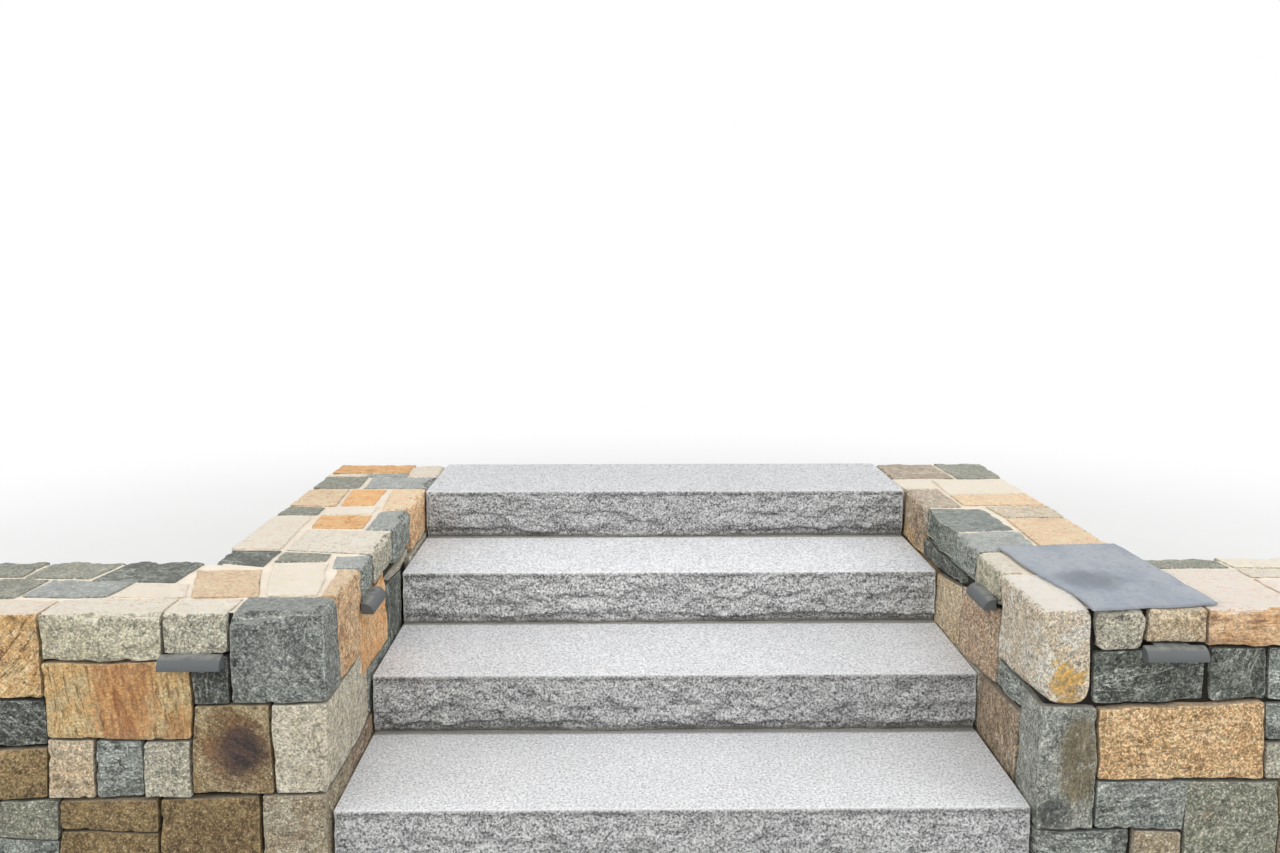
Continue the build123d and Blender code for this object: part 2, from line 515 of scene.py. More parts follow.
@dataclass(frozen=True)
class Granite:
    """Salt-and-pepper granite: pale thermal treads and rock-faced risers."""

    name: str  # The material's name
    tread: Colour  # The pale colour of a tread
    riser: Colour  # The colour of a riser
    light: Colour  # Light grains, the bruised arris, bruised ridges, and the painted highlight on ridges and on facets that lean up
    dark: Colour  # Mica and dark grains, and the painted shade in hollows and on facets that lean down
    dirt: Colour  # What gathers along the joints

    def material(self) -> bpy.types.Material:
        """Builds the finish.

        Returns:
            The material.
        """
        finish = Finish(self.name)
        where = finish.place()
        soil, rim, hollow = (finish.stored(name, "Fac") for name in ("soil", "rim", "hollow"))
        up = finish.upward(0.75, 0.97)
        clouds, salt = finish.noise(where, CLOUDS), finish.noise(where, MICA)
        crystals = finish.noise(where, CRYSTALS)
        normal = finish.relief(crystals * (1 - 0.7 * up) + 0.2 * salt, 0.008)
        lean = finish.leaning(normal)
        depth = hollow + 0.9 * (crystals - 0.5)
        # Paler ridges, partly bruised stone and partly painted highlight, and a painted highlight
        # on facets that lean up.
        bruise_and_painted_highlight = (depth.below(0.1, 0.36) * 0.3).most(lean.above(0.6, 0.95) * 0.8)
        # Painted shade in the hollows and on facets that lean down.
        painted_shading = (depth.above(0.6, 0.95) * 0.3).most(lean.below(0.1, 0.5) * 0.75)
        edge = finish.noise(where, FLAKE_EDGES).between(0.484, 0.496, 0.5, 0.508) * (1 - up)
        arris = (rim + 0.006 * (crystals - 0.5)).below(0.001, 0.007)
        moss = (soil + 0.5 * (clouds - 0.5) + 0.5 * (crystals - 0.5)).above(0.35, 0.85)
        colour = finish.layered(
            self.riser,
            (up, self.tread),
            (bruise_and_painted_highlight * (1 - up), self.light),
            (painted_shading * (1 - up), self.dark),
            (salt.above(0.53, 0.58) * 0.8, self.light),
            (salt.below(0.41, 0.46) * (0.95 - 0.4 * up), self.dark),
            (edge * clouds.above(0.42, 0.55) * 0.5, self.light),
            (arris * 0.6, self.light),
            (moss * 0.7, self.dirt),
            (finish.specks(where, 0.21, 0.0045) * up * 0.8, self.dark),
        )
        # Each slab's stored tone is painted light and shade; the clouds and crystals vary it at
        # random.
        tone = (0.78 + 0.2 * clouds + 0.2 * crystals.above(0.4, 0.6)) * finish.stored("tone", "Fac")
        return finish.surface(
            Base_Color=finish.scaled(colour, tone),
            Roughness=0.7 + 0.2 * crystals,
            Normal=normal,
        )


@dataclass(frozen=True)
class Mortar:
    """Pale cream mortar on the wall tops, with painted shade on the faces: the raked joints are
    painted near black.
    """

    name: str  # The material's name
    pale: Colour  # The colour on top
    deep: Colour  # The painted shade in the joints of the faces

    def material(self) -> bpy.types.Material:
        """Builds the finish.

        Returns:
            The material.
        """
        finish = Finish(self.name)
        where = finish.place()
        sand = finish.noise(where, Pattern(0.005, 6, 0.7))
        clouds = finish.noise(where, Pattern(0.06, 5, 0.6))
        # Painted shade: the mortar is painted near black wherever it doesn't face up.
        colour = finish.mix(finish.upward(0.5, 0.8), self.deep, self.pale)
        colour = finish.scaled(colour, 0.72 + 0.3 * clouds + 0.26 * sand)
        normal = finish.relief(sand + clouds, 0.005, 0.9)
        return finish.surface(Base_Color=colour, Roughness=0.85 + 0.1 * sand, Normal=normal)


@dataclass(frozen=True)
class Bluestone:
    """A cleft blue-grey sheet, with a darker patch and faint waves of its bedding."""

    name: str  # The material's name
    blue: Colour  # The bluer tone
    grey: Colour  # The greyer tone
    dark: Colour  # The tone of the cleft marks and the patch
    patch: tuple[float, float, float]  # The patch's middle in the part's frame, in metres
    patch_radius: float = 0.12  # The patch's radius

    def material(self) -> bpy.types.Material:
        """Builds the finish.

        Returns:
            The material.
        """
        finish = Finish(self.name)
        where = finish.place()
        broad = finish.noise(where, Pattern(0.2, 5, 0.62, stretch=(1.6, 1.0, 1.0)))
        fine = finish.noise(where, Pattern(0.014, 8, 0.74))
        colour = finish.mix(broad.above(0.4, 0.6), self.blue, self.grey)
        colour = finish.mix(fine.above(0.5, 0.72) * 0.5, colour, self.dark)
        away = finish.vector("DISTANCE", where, self.patch, output="Value") + 0.16 * (broad - 0.5)
        stain = away.below(0.2 * self.patch_radius, self.patch_radius)
        sheets = finish.noise(where, Pattern(0.05, 6, 0.62, stretch=(0.4, 1.0, 1.0)))
        return finish.surface(
            Base_Color=finish.mix(stain * 0.55, colour, self.dark),
            Roughness=0.62 + 0.24 * fine,
            Normal=finish.relief(sheets + fine * 0.6, 0.004, 0.8),
        )


@dataclass(frozen=True)
class Bronze:
    """Dark powder coat with a slight grain, and dust on what faces up."""

    name: str  # The material's name
    coat: Colour  # The coat's colour
    dust: Colour  # The dust's colour

    def material(self) -> bpy.types.Material:
        """Builds the finish.

        Returns:
            The material.
        """
        finish = Finish(self.name)
        where = finish.place()
        cloud = finish.noise(where, Pattern(0.03, 5, 0.6))
        peel = finish.noise(where, Pattern(0.0016, 3, 0.5))
        dusty = finish.upward(0.7, 1.0) * cloud.above(0.3, 0.6)
        colour = finish.mix(dusty * 0.7, self.coat, self.dust)
        normal = finish.relief(peel, 0.0004, 0.5)
        return finish.surface(Base_Color=colour, Roughness=0.42 + 0.22 * cloud, Normal=normal)


@dataclass(frozen=True)
class Lens:
    """Frosted glass, unlit."""

    name: str  # The material's name
    tint: Colour  # The glass's colour

    def material(self) -> bpy.types.Material:
        """Builds the finish.

        Returns:
            The material.
        """
        finish = Finish(self.name)
        frost = finish.noise(finish.place(), Pattern(0.003, 4, 0.6))
        return finish.surface(
            Base_Color=finish.scaled(self.tint, 0.9 + 0.15 * frost),
            Roughness=0.35 + 0.2 * frost,
            Normal=finish.relief(frost, 0.0003, 0.4),
        )


SLATE = FieldStone(
    "slate_stone", rgb(92, 96, 89), rgb(72, 76, 69), rgb(34, 36, 33), rgb(196, 200, 190),
    rgb(110, 98, 62), 0.12, beds=0.6, arris=0.15, flecks=0.35, veins=0.8, bleach=0.2,
    top=rgb(168, 170, 162),
)
LEFT_JOINT = -0.9145
RIGHT_JOINT = 0.9145


class Kind(Enum):
    """The kinds of fieldstone in the walls."""

    TAN = FieldStone("tan_stone", rgb(196, 178, 148), rgb(186, 162, 126), rgb(104, 92, 72))
    RUST = FieldStone(
        "rust_stone", rgb(202, 174, 126), rgb(196, 154, 98), rgb(98, 66, 42), rgb(230, 212, 172),
        rgb(172, 100, 46), 0.3, grain=0.5, beds=1.0, flecks=0.4, pits=0.5, bleach=0.85,
    )
    PALE_GREEN = FieldStone(
        "pale_green_stone", rgb(196, 191, 166), rgb(182, 176, 150), rgb(104, 102, 84), rust=0.05,
        beds=0.3, bleach=0.85,
    )
    GREY_TAN = FieldStone(
        "grey_tan_stone", rgb(184, 178, 158), rgb(172, 168, 150), rgb(88, 88, 78), rust=0.05,
        grain=0.85, beds=0.15, bleach=0.85,
    )
    BLUE_QUOIN = FieldStone(
        "blue_quoin_stone", rgb(120, 124, 119), rgb(102, 106, 102), rgb(50, 53, 51),
        rgb(204, 206, 199), rust=0.0, beds=0.3, arris=0.5, flecks=0.5, veins=0.6, bleach=0.45,
        top=rgb(176, 178, 172),
    )
    STREAKED = FieldStone(
        "streaked_stone", rgb(188, 168, 126), rgb(196, 160, 106), rgb(122, 94, 58),
        rgb(220, 204, 164), rgb(172, 98, 44), 0.15, grain=0.5, beds=1.0, mottle=0.5, flecks=0.35,
        pits=0.4,
        spots=(
            Spot((LEFT_JOINT - 0.522, 0.0, 0.50), 0.084, rgb(186, 136, 86), rgb(140, 80, 40),
                 (1.0, 0.3, 0.35), 0.13, 0.75),
            Spot((LEFT_JOINT - 0.385, 0.0, 0.40), 0.045, rgb(184, 138, 88), rgb(138, 88, 50),
                 (1.0, 0.3, 0.6), 0.12, 0.6),
        ),
    )
    DARK = SLATE
    BLACK = replace(SLATE, name="black_stone", ground=rgb(78, 81, 76), second=rgb(64, 67, 62))
    LEDGE = replace(
        SLATE, name="ledge_stone", ground=rgb(116, 122, 114), second=rgb(98, 104, 98), arris=0.75,
        light=rgb(196, 200, 184), bleach=0.45, top=rgb(172, 178, 176),
    )
    UMBER_HEART = FieldStone(
        "umber_heart_stone", rgb(158, 142, 110), rgb(134, 112, 76), rgb(74, 58, 42),
        rgb(206, 190, 152), rgb(116, 78, 44), 0.25,
        spots=(
            Spot((LEFT_JOINT - 0.232, 0.0, 0.350), 0.094, rgb(112, 78, 50), rgb(78, 58, 44),
                 (1.0, 0.3, 0.9), 0.16, 0.8),
            Spot((LEFT_JOINT - 0.222, 0.0, 0.352), 0.062, rgb(76, 60, 52), rgb(50, 41, 40),
                 (1.0, 0.3, 0.9), 0.10, 0.95),
        ),
    )
    BEIGE = FieldStone(
        "beige_stone", rgb(206, 199, 180), rgb(198, 188, 166), rgb(122, 114, 96), rust=0.05,
        beds=0.2, arris=0.5, light=rgb(226, 220, 202),
    )
    UMBER = FieldStone(
        "umber_stone", rgb(140, 118, 78), rgb(118, 96, 62), rgb(62, 50, 38),
        rgb(196, 174, 132), rgb(132, 84, 42), 0.25,
    )
    GREY_BROWN = FieldStone(
        "grey_brown_stone", rgb(164, 154, 130), rgb(150, 134, 106), rgb(92, 82, 64), rust=0.2,
        stain=rgb(140, 100, 60), grain=0.6,
    )
    GREY = FieldStone(
        "grey_stone", rgb(128, 130, 112), rgb(116, 118, 102), rgb(70, 72, 62), rust=0.05,
        bleach=0.3, top=rgb(198, 198, 188),
    )
    BLUE_GREY = FieldStone(
        "blue_grey_stone", rgb(133, 138, 131), rgb(117, 122, 116), rgb(60, 65, 62),
        rgb(214, 218, 210), rust=0.05, beds=0.75, veins=0.7, bleach=0.6, top=rgb(196, 198, 194),
    )
    GOLDEN = FieldStone(
        "golden_stone", rgb(198, 166, 122), rgb(184, 148, 102), rgb(108, 78, 48),
        rgb(244, 224, 188), rgb(182, 124, 68), 0.2, grain=0.75, beds=0.5,
        mottle=0.6, flecks=0.7, pits=0.75,
    )
    SPECKLED = FieldStone(
        "speckled_stone", rgb(176, 152, 124), rgb(168, 138, 110), rgb(78, 64, 52), rust=0.15,
        grain=0.8, beds=0.1, mottle=0.6, flecks=0.7, pits=0.8,
    )
    ORANGE = FieldStone(
        "orange_stone", rgb(228, 186, 138), rgb(222, 168, 112), rgb(150, 98, 60),
        rgb(242, 220, 182), rgb(200, 116, 56), 0.3, grain=0.5, beds=0.75, mottle=0.4, flecks=0.4,
        pits=0.4, bleach=0.4, top=rgb(252, 194, 128),
    )
    SANDY = FieldStone(
        "sandy_stone", rgb(220, 186, 144), rgb(210, 170, 124), rgb(140, 98, 68),
        rgb(236, 214, 182), rgb(196, 120, 64), 0.25, beds=0.6, bleach=0.6, top=rgb(250, 228, 196),
    )
    BROWN = FieldStone(
        "brown_stone", rgb(160, 138, 110), rgb(142, 118, 92), rgb(82, 66, 50), rust=0.25,
        stain=rgb(150, 92, 60), beds=0.6, bleach=0.3,
    )
    OLIVE_QUOIN = FieldStone(
        "olive_quoin_stone", rgb(140, 144, 136), rgb(160, 161, 152), rgb(66, 70, 64),
        rgb(214, 214, 204), rust=0.0, beds=0.6, arris=0.3, flecks=0.5, veins=0.6,
        spots=(
            Spot((RIGHT_JOINT + 0.112, -0.02, 0.312), 0.068, rgb(128, 116, 88), rgb(98, 88, 64),
                 (1.15, 0.4, 0.48), 0.05),
            Spot((RIGHT_JOINT + 0.05, -0.03, 0.17), 0.05, rgb(84, 88, 84), rgb(58, 62, 58),
                 (1.0, 0.4, 1.0), 0.08),
        ),
    )
    BOULDER = FieldStone(
        "boulder_stone", rgb(212, 206, 192), rgb(204, 188, 162), rgb(116, 110, 96),
        rgb(246, 240, 228), beds=0.3, arris=0.3, pits=0.5, veins=0.3, bleach=0.9,
        top=rgb(250, 243, 232),
        spots=(
            Spot((RIGHT_JOINT + 0.074, 0.0, 0.512), 0.052, rgb(206, 164, 74), rgb(166, 132, 84),
                 (1.1, 0.4, 0.75), 0.17, 0.85),
        ),
    )
    CREAM = FieldStone(
        "cream_stone", rgb(236, 224, 204), rgb(240, 226, 204), rgb(168, 152, 130), rust=0.15,
        grain=0.4, stain=rgb(226, 184, 130), mottle=0.5, bleach=0.6,
    )
    PINK = FieldStone(
        "pink_stone", rgb(216, 180, 138), rgb(206, 164, 118), rgb(136, 92, 64),
        rgb(240, 222, 194), rgb(186, 112, 66), 0.25, grain=0.5, beds=0.7, mottle=0.4, flecks=0.3,
        pits=0.4, bleach=0.88, top=rgb(252, 242, 230),
    )


GRANITE = Granite(
    "granite", rgb(222, 223, 226), rgb(158, 159, 159), rgb(244, 244, 243), rgb(70, 72, 72),
    rgb(98, 94, 76),
)
# The mortar's second colour is painted shade in the raked joints.
MORTAR = Mortar("mortar", rgb(238, 226, 208), rgb(42, 38, 32))
BLUESTONE = Bluestone(
    "bluestone_sheet", rgb(142, 149, 158), rgb(156, 161, 167), rgb(88, 93, 101), (1.15, 0.25, 0.72)
)
BRONZE = Bronze("bronze_coat", rgb(84, 87, 88), rgb(142, 143, 138))
LENS = Lens("frosted_glass", rgb(226, 224, 214))

FACE_MIX = (
    Kind.TAN, Kind.BEIGE, Kind.STREAKED, Kind.GREY, Kind.BLUE_GREY, Kind.DARK, Kind.BROWN,
    Kind.GREY_TAN, Kind.UMBER, Kind.GOLDEN, Kind.BLUE_GREY, Kind.SPECKLED, Kind.GREY_BROWN,
    Kind.BLACK,
)
TOP_MIX = (Kind.CREAM, Kind.CREAM, Kind.TAN, Kind.GREY, Kind.BLUE_GREY, Kind.SANDY, Kind.BEIGE)


class Noise:
    """Smooth seeded noise in three dimensions, for shapes."""

    SIDE = 32

    def __init__(self, seed: int) -> None:
        """Draws the lattice of random values."""
        self.values = np.random.default_rng(seed).random((self.SIDE,) * 3) * 2 - 1

    def at(self, points: np.ndarray, size: float) -> np.ndarray:
        """Reads the noise.

        Args:
            points: Places in metres, one row each.
            size: The size of the noise's patches in metres.

        Returns:
            A value from -1 to 1 for each place.
        """
        cell = points / size
        low = np.floor(cell).astype(int)
        share = cell - low
        share = share * share * (3 - 2 * share)
        total = np.zeros(len(points))
        for corner in np.ndindex(2, 2, 2):
            index = (low + corner) % self.SIDE
            weight = np.ones(len(points))
            for axis in range(3):
                weight *= share[:, axis] if corner[axis] else 1 - share[:, axis]
            total += weight * self.values[index[:, 0], index[:, 1], index[:, 2]]
        return total

    def layered(self, points: np.ndarray, size: float, layers: int) -> np.ndarray:
        """Adds finer layers, each of half the size and half the strength."""
        halves = [2**layer for layer in range(layers)]
        return sum(self.at(points + 3.7 * n, size / half) / half for n, half in enumerate(halves))

    def ridged(self, points: np.ndarray, size: float) -> np.ndarray:
        """Sharp ridges between smooth hollows, from 0 to 1."""
        return 1 - np.abs(self.at(points, size))


ROUGH = Noise(11)
WARPS = (Noise(21), Noise(22), Noise(23))


@dataclass(frozen=True)
class Bend:
    """The slow waves that keep the walls' joints and faces from being straight."""

    broad: float = 0.0055  # The height of the broad waves
    broad_size: float = 0.15  # Their size
    fine: float = 0.0022  # The height of the fine waves
    fine_size: float = 0.045  # Their size
    fade: float = 0.06  # The height over which they fade out towards the walls' tops and the ground

    def apply(self, points: np.ndarray, head: float) -> np.ndarray:
        """Moves each point by the wave at its place, and keeps tops level at a height.

        Args:
            points: The points, in the part's frame.
            head: The height of the tops.

        Returns:
            The moved points.
        """
        waves = ((self.broad, self.broad_size), (self.fine, self.fine_size))
        moves = [sum(size * warp.at(points, cell) for size, cell in waves) for warp in WARPS]
        height = np.minimum(points[:, 2], head - points[:, 2])
        moves[2] = moves[2] * np.clip(height / self.fade, 0, 1)
        return points + np.stack(moves, axis=1)


BEND = Bend()


@dataclass(frozen=True)
class Frame:
    """A wall face as a frame for stones: along it, up it and in from it."""

    origin: tuple[float, float, float]  # The place where all three are 0
    along: np.ndarray  # The direction along the face
    inward: np.ndarray  # The direction into the wall
    batter: float = 0.0  # How far the face leans in for each metre of height

    def place(self, spots: np.ndarray) -> np.ndarray:
        """Turns distances along, up and in into places in the part's frame."""
        along, up, inward = spots[:, :1], spots[:, 1:2], spots[:, 2:] + self.batter * spots[:, 1:2]
        return np.array(self.origin) + along * self.along + up * UP + inward * self.inward

    def turned(self, faces: Faces) -> Faces:
        """Turns faces over where along, up and outward make a left-handed set."""
        is_mirrored = np.cross(self.along, UP) @ -self.inward < 0
        return [face[::-1] for face in faces] if is_mirrored else faces


class Side(Enum):
    """The faces of a stone, as an axis of its lattice and an end of it."""

    LOW = (0, 0)
    HIGH = (0, 1)
    FOOT = (1, 0)
    HEAD = (1, 1)
    BACK = (2, 0)
    FRONT = (2, 1)

    @property
    def axis(self) -> int:
        """The axis that it crosses."""
        return self.value[0]

    @property
    def out(self) -> float:
        """The direction out of it along its axis."""
        return 1.0 if self.value[1] else -1.0

    @property
    def others(self) -> list[int]:
        """The two axes that it lies along."""
        return [other for other in range(3) if other != self.axis]


FRONT_ONLY = frozenset({Side.FRONT})


@dataclass(frozen=True)
class Dressing:
    """How a stone is worked."""

    arris: float = 0.003  # The radius of its worn arrises
    corner: float = 0.007  # The radius of its outline's corners
    facets: int = 4  # How many split facets a shown face has
    tilt: float = 0.10  # The steepest slope of a facet
    cut: float = 0.007  # The deepest that a facet cuts
    fall: float = 0.0012  # How far a face falls back at its edges
    lumps: float = 0.0016  # The height of its lumps
    lump_size: float = 0.05  # The size of a lump
    chips: float = 0.0013  # The height of its small ridges
    nicks: float = 0.004  # The depth of the nicks in its arrises
    pitch: float = 0.0  # The width of the broken arris between face and top
    crown: float = 1.0  # The share of the corner radius that the upper corners get


SPLIT = Dressing()
ROCK_FACED = Dressing(
    corner=0.009, facets=9, tilt=0.42, cut=0.016, fall=0.003, lumps=0.0022, chips=0.002,
    nicks=0.0045,
)
SMOOTH = Dressing(facets=2, tilt=0.04, fall=0.0008, chips=0.0016, nicks=0.003)
FLAT_TOP = Dressing(
    corner=0.014, facets=1, tilt=0.015, cut=0.0012, fall=0.0008, lumps=0.0008, chips=0.0006
)
PLAIN = Dressing(facets=0, fall=0.0, lumps=0.0006, chips=0.0003, nicks=0.0)
EDGE_STONE = Dressing(arris=0.005, corner=0.006, pitch=0.017)
QUOIN = Dressing(arris=0.005, corner=0.006, facets=5, tilt=0.12, cut=0.008)
ROUND = Dressing(
    arris=0.016, corner=0.062, facets=3, tilt=0.08, cut=0.006, lumps=0.003, lump_size=0.08,
    nicks=0.0, crown=0.4,
)


def spread(length: float, cell: float, arris: float) -> np.ndarray:
    """Lattice places across one side of a stone, closer together at its arrises.

    Args:
        length: The side's length.
        cell: The cell between the arrises.
        arris: The radius of an arris.

    Returns:
        The places, from the middle.
    """
    inner = length / 2 - arris
    steps = max(1, round(2 * inner / cell))
    rings = max(2, round(arris / cell) + 1)
    rim = -length / 2 + arris * np.linspace(0, 1, rings + 1)[:-1]
    return np.concatenate([rim, np.linspace(-inner, inner, steps + 1), -rim[::-1]])


def cells_of(sheet: np.ndarray) -> Faces:
    """The four points round each cell of a sheet of numbered points."""
    corners = [sheet[:-1, :-1], sheet[1:, :-1], sheet[1:, 1:], sheet[:-1, 1:]]
    return [tuple(quad) for quad in np.stack(corners, axis=-1).reshape(-1, 4).tolist()]


def rim_of(sheet: np.ndarray) -> tuple[int, ...]:
    """The points round a whole sheet, in order."""
    runs = (sheet[:-1, 0], sheet[-1, :-1], sheet[:0:-1, -1], sheet[0, :0:-1])
    return tuple(np.concatenate(runs).tolist())


@dataclass
class Lattice:
    """A box's surface as a lattice, with one plain face on each hidden side."""

    lines: Sequence[np.ndarray]  # Places along the three axes
    shown: frozenset[Side]  # The sides that get the lattice's own small faces

    def build(self) -> tuple[np.ndarray, Faces]:
        """Makes the surface.

        Returns:
            The points, and the faces that join them.
        """
        counts = tuple(len(line) for line in self.lines)
        used = np.zeros(counts, bool)
        for side in Side:
            sheet = self._sheet(side, used)
            sheet[0] = sheet[-1] = sheet[:, 0] = sheet[:, -1] = True
            if side in self.shown:
                sheet[:] = True
        number = np.full(counts, -1)
        number[used] = np.arange(used.sum())
        faces: Faces = []
        for side in Side:
            faces += self._side_faces(side, number)
        index = np.argwhere(used)
        points = np.stack([self.lines[axis][index[:, axis]] for axis in range(3)], axis=1)
        return points, faces

    @staticmethod
    def _sheet(side: Side, values: np.ndarray) -> np.ndarray:
        """The lattice's values on one side, which can be written to."""
        axis, end = side.value
        return np.moveaxis(values, axis, 0)[-end]

    def _side_faces(self, side: Side, number: np.ndarray) -> Faces:
        """Joins the points of one side.

        Args:
            side: The side.
            number: The number of each point of the lattice.

        Returns:
            Its small faces, or one plain face if it is hidden.
        """
        sheet = self._sheet(side, number)
        flip = (side.out < 0) != (side.axis == 1)
        rings = cells_of(sheet) if side in self.shown else [rim_of(sheet)]
        return [ring[::-1] for ring in rings] if flip else rings


def rounded(grid: np.ndarray, half: np.ndarray, arris: float) -> np.ndarray:
    """Rounds the arrises of a box's surface."""
    core = np.clip(grid, arris - half, half - arris)
    return core + arris * (grid - core) / np.linalg.norm(grid - core, axis=1, keepdims=True)


def edge_distance(points: np.ndarray, half: np.ndarray) -> np.ndarray:
    """How far each point on a box's surface is from the nearest arris."""
    return np.sort(half - np.abs(points), axis=1)[:, 1]


# How far in from an arris each kind of work on a face is felt, in metres.
FACET_REACH = 0.04
FALL_REACH = 0.028
NICK_REACH = 0.016
SIDE_NICK_REACH = 0.014
WORK_REACH = 0.035

# The sizes of the noise behind each kind of work, in metres.
CHIP_SIZE = 0.016
FINE_CHIP_SIZE = 0.009
NICK_SIZE = 0.03
PITCH_SIZE = 0.05

# How far apart two stones' shapes and grains lie in the noise, in metres.
SHAPE_SHIFT = 30.0
GRAIN_SHIFT = 40.0

# How strongly a walked-on top is worked, beside a face.
CALM_TOP = 0.2


@dataclass
class Stone:
    """One stone: eight corners in a wall's frame, with a kind and a dressing."""

    corners: np.ndarray  # Distances along, up and in, indexed by side, height and front
    kind: Kind  # Its kind of stone
    shown: frozenset[Side] = FRONT_ONLY  # The faces that show, which get the fine lattice
    dressing: Dressing = SPLIT  # How it is worked
    cell: float = FACE_CELL  # The lattice's cell on a shown face
    dip: float = 0.0  # The angle of its bedding on the face, in degrees from level

    def size(self) -> np.ndarray:
        """Mean length of the stone along its three axes."""
        spans = [np.diff(self.corners, axis=axis) for axis in range(3)]
        return np.array([np.linalg.norm(span, axis=-1).mean() for span in spans])

    def mesh(
        self, frame: Frame, dice: random.Random
    ) -> tuple[np.ndarray, Faces, np.ndarray, np.ndarray]:
        """Builds the stone in the part's frame.

        Args:
            frame: The wall face that it lies in.
            dice: The source of its random facets.

        Returns:
            Its points, its faces, the points' places in the grain and their distance from an arris.
        """
        size = self.size()
        half = size / 2
        arris = min(self.dressing.arris, 0.4 * size.min())
        lines = []
        for axis in range(3):
            crossed = any(side.axis != axis for side in self.shown)
            lines.append(spread(size[axis], self.cell if crossed else HIDDEN_CELL, arris))
        grid, faces = Lattice(lines, self.shown).build()
        points = self._worked(self._cornered(rounded(grid, half, arris), half), half, dice)
        share = points / size + 0.5
        placed = np.zeros_like(points)
        for corner in np.ndindex(2, 2, 2):
            weight = np.prod(np.where(np.array(corner) == 1, share, 1 - share), axis=1)
            placed += weight[:, None] * self.corners[corner]
        turn = math.radians(self.dip)
        level = points[:, 0] * math.cos(turn) + points[:, 1] * math.sin(turn)
        across = points[:, 1] * math.cos(turn) - points[:, 0] * math.sin(turn)
        grain = np.stack([level, points[:, 2], across], axis=1)
        return frame.place(placed), frame.turned(faces), grain, edge_distance(grid, half)

    def _cornered(self, points: np.ndarray, half: np.ndarray) -> np.ndarray:
        """Rounds the outline's corners, in the face or in plan.

        Args:
            points: The block's points.
            half: Half the block's size.

        Returns:
            The moved points.
        """
        axes = [0, 1] if Side.FRONT in self.shown else [0, 2]
        flat = points[:, axes]
        widest = min(self.dressing.corner, 0.9 * half[axes].min())
        upper = np.clip(flat[:, 1] / half[axes[1]], 0, 1)
        front = np.clip(0.5 + points[:, 2] / (2 * half[2]), 0, 1)
        radius = widest * (1 - (1 - self.dressing.crown) * upper) * (0.15 + 0.85 * front**2)
        radius = radius[:, None]
        over = np.clip((np.abs(flat) - half[axes] + radius) / radius, 0, 1)
        disc = over * np.sqrt(1 - over[:, ::-1] ** 2 / 2)
        moved = points.copy()
        moved[:, axes] = flat + np.sign(flat) * radius * (disc - over)
        return moved

    def _worked(self, points: np.ndarray, half: np.ndarray, dice: random.Random) -> np.ndarray:
        """Splits facets off the shown faces and adds lumps and chips.

        Args:
            points: The rounded block's points.
            half: Half the block's size.
            dice: The source of random numbers.

        Returns:
            The worked points.
        """
        dressing = self.dressing
        shift = np.array([dice.random() for _ in range(3)]) * SHAPE_SHIFT
        for side in sorted(self.shown, key=lambda side: side.value):
            axis, out, others = side.axis, side.out, side.others
            calm = CALM_TOP if side is Side.HEAD and len(self.shown) > 1 else 1.0
            inside = np.min(half[others] - np.abs(points[:, others]), axis=1)
            points = self._faceted(points, half, side, calm, dice)
            fall = np.clip(1 - inside / FALL_REACH, 0, 1) ** 2 * dressing.fall
            near = np.clip(1 - (half[axis] - out * points[:, axis]) / WORK_REACH, 0, 1)
            here = points + shift
            lumps = 1 + ROUGH.layered(here, dressing.lump_size, 3)
            chips = ROUGH.ridged(here, CHIP_SIZE) + 0.6 * ROUGH.ridged(here, FINE_CHIP_SIZE)
            depth = fall + calm * (dressing.lumps * lumps + dressing.chips * (1.6 - chips))
            nick = dressing.nicks * np.clip(ROUGH.layered(here + 9, NICK_SIZE, 3), 0, 1)
            points[:, axis] -= out * near * (depth + nick * np.clip(1 - inside / NICK_REACH, 0, 1))
            for other in others:
                edge = np.clip(1 - (half[other] - np.abs(points[:, other])) / SIDE_NICK_REACH, 0, 1)
                points[:, other] -= np.sign(points[:, other]) * near * edge * nick
        if dressing.pitch > 0 and Side.HEAD in self.shown:
            points = self._pitched(points, half, shift)
        return points

    def _faceted(
        self, points: np.ndarray, half: np.ndarray, side: Side, calm: float, dice: random.Random
    ) -> np.ndarray:
        """Splits facets off one face.

        Args:
            points: The stone's points.
            half: Half the block's size.
            side: The face.
            calm: How strongly the face is worked, from 0 to 1.
            dice: The source of random numbers.

        Returns:
            The cut points.
        """
        axis, out, others = side.axis, side.out, side.others
        deepest = self.dressing.cut * calm
        inside = np.min(half[others] - np.abs(points[:, others]), axis=1)
        whole = np.clip(0.4 + inside / FACET_REACH, 0.4, 1)
        cut = points.copy()
        for _ in range(self.dressing.facets):
            angle = dice.uniform(0, 2 * math.pi)
            slope = np.array([math.cos(angle), math.sin(angle)])
            normal, start = np.zeros(3), np.zeros(3)
            normal[axis] = out
            normal[others] = dice.uniform(0.25, 1.0) * self.dressing.tilt * calm * slope
            start[axis] = out * half[axis]
            start[others] = dice.uniform(0.15, 0.75) * half[others] * slope
            normal /= np.linalg.norm(normal)
            proud = np.clip((cut - start) @ normal, 0, deepest)
            cut -= (whole * proud)[:, None] * normal
        deeper = np.maximum(out * (points[:, axis] - cut[:, axis]) - 1.15 * deepest, 0)
        cut[:, axis] += out * deeper
        return cut

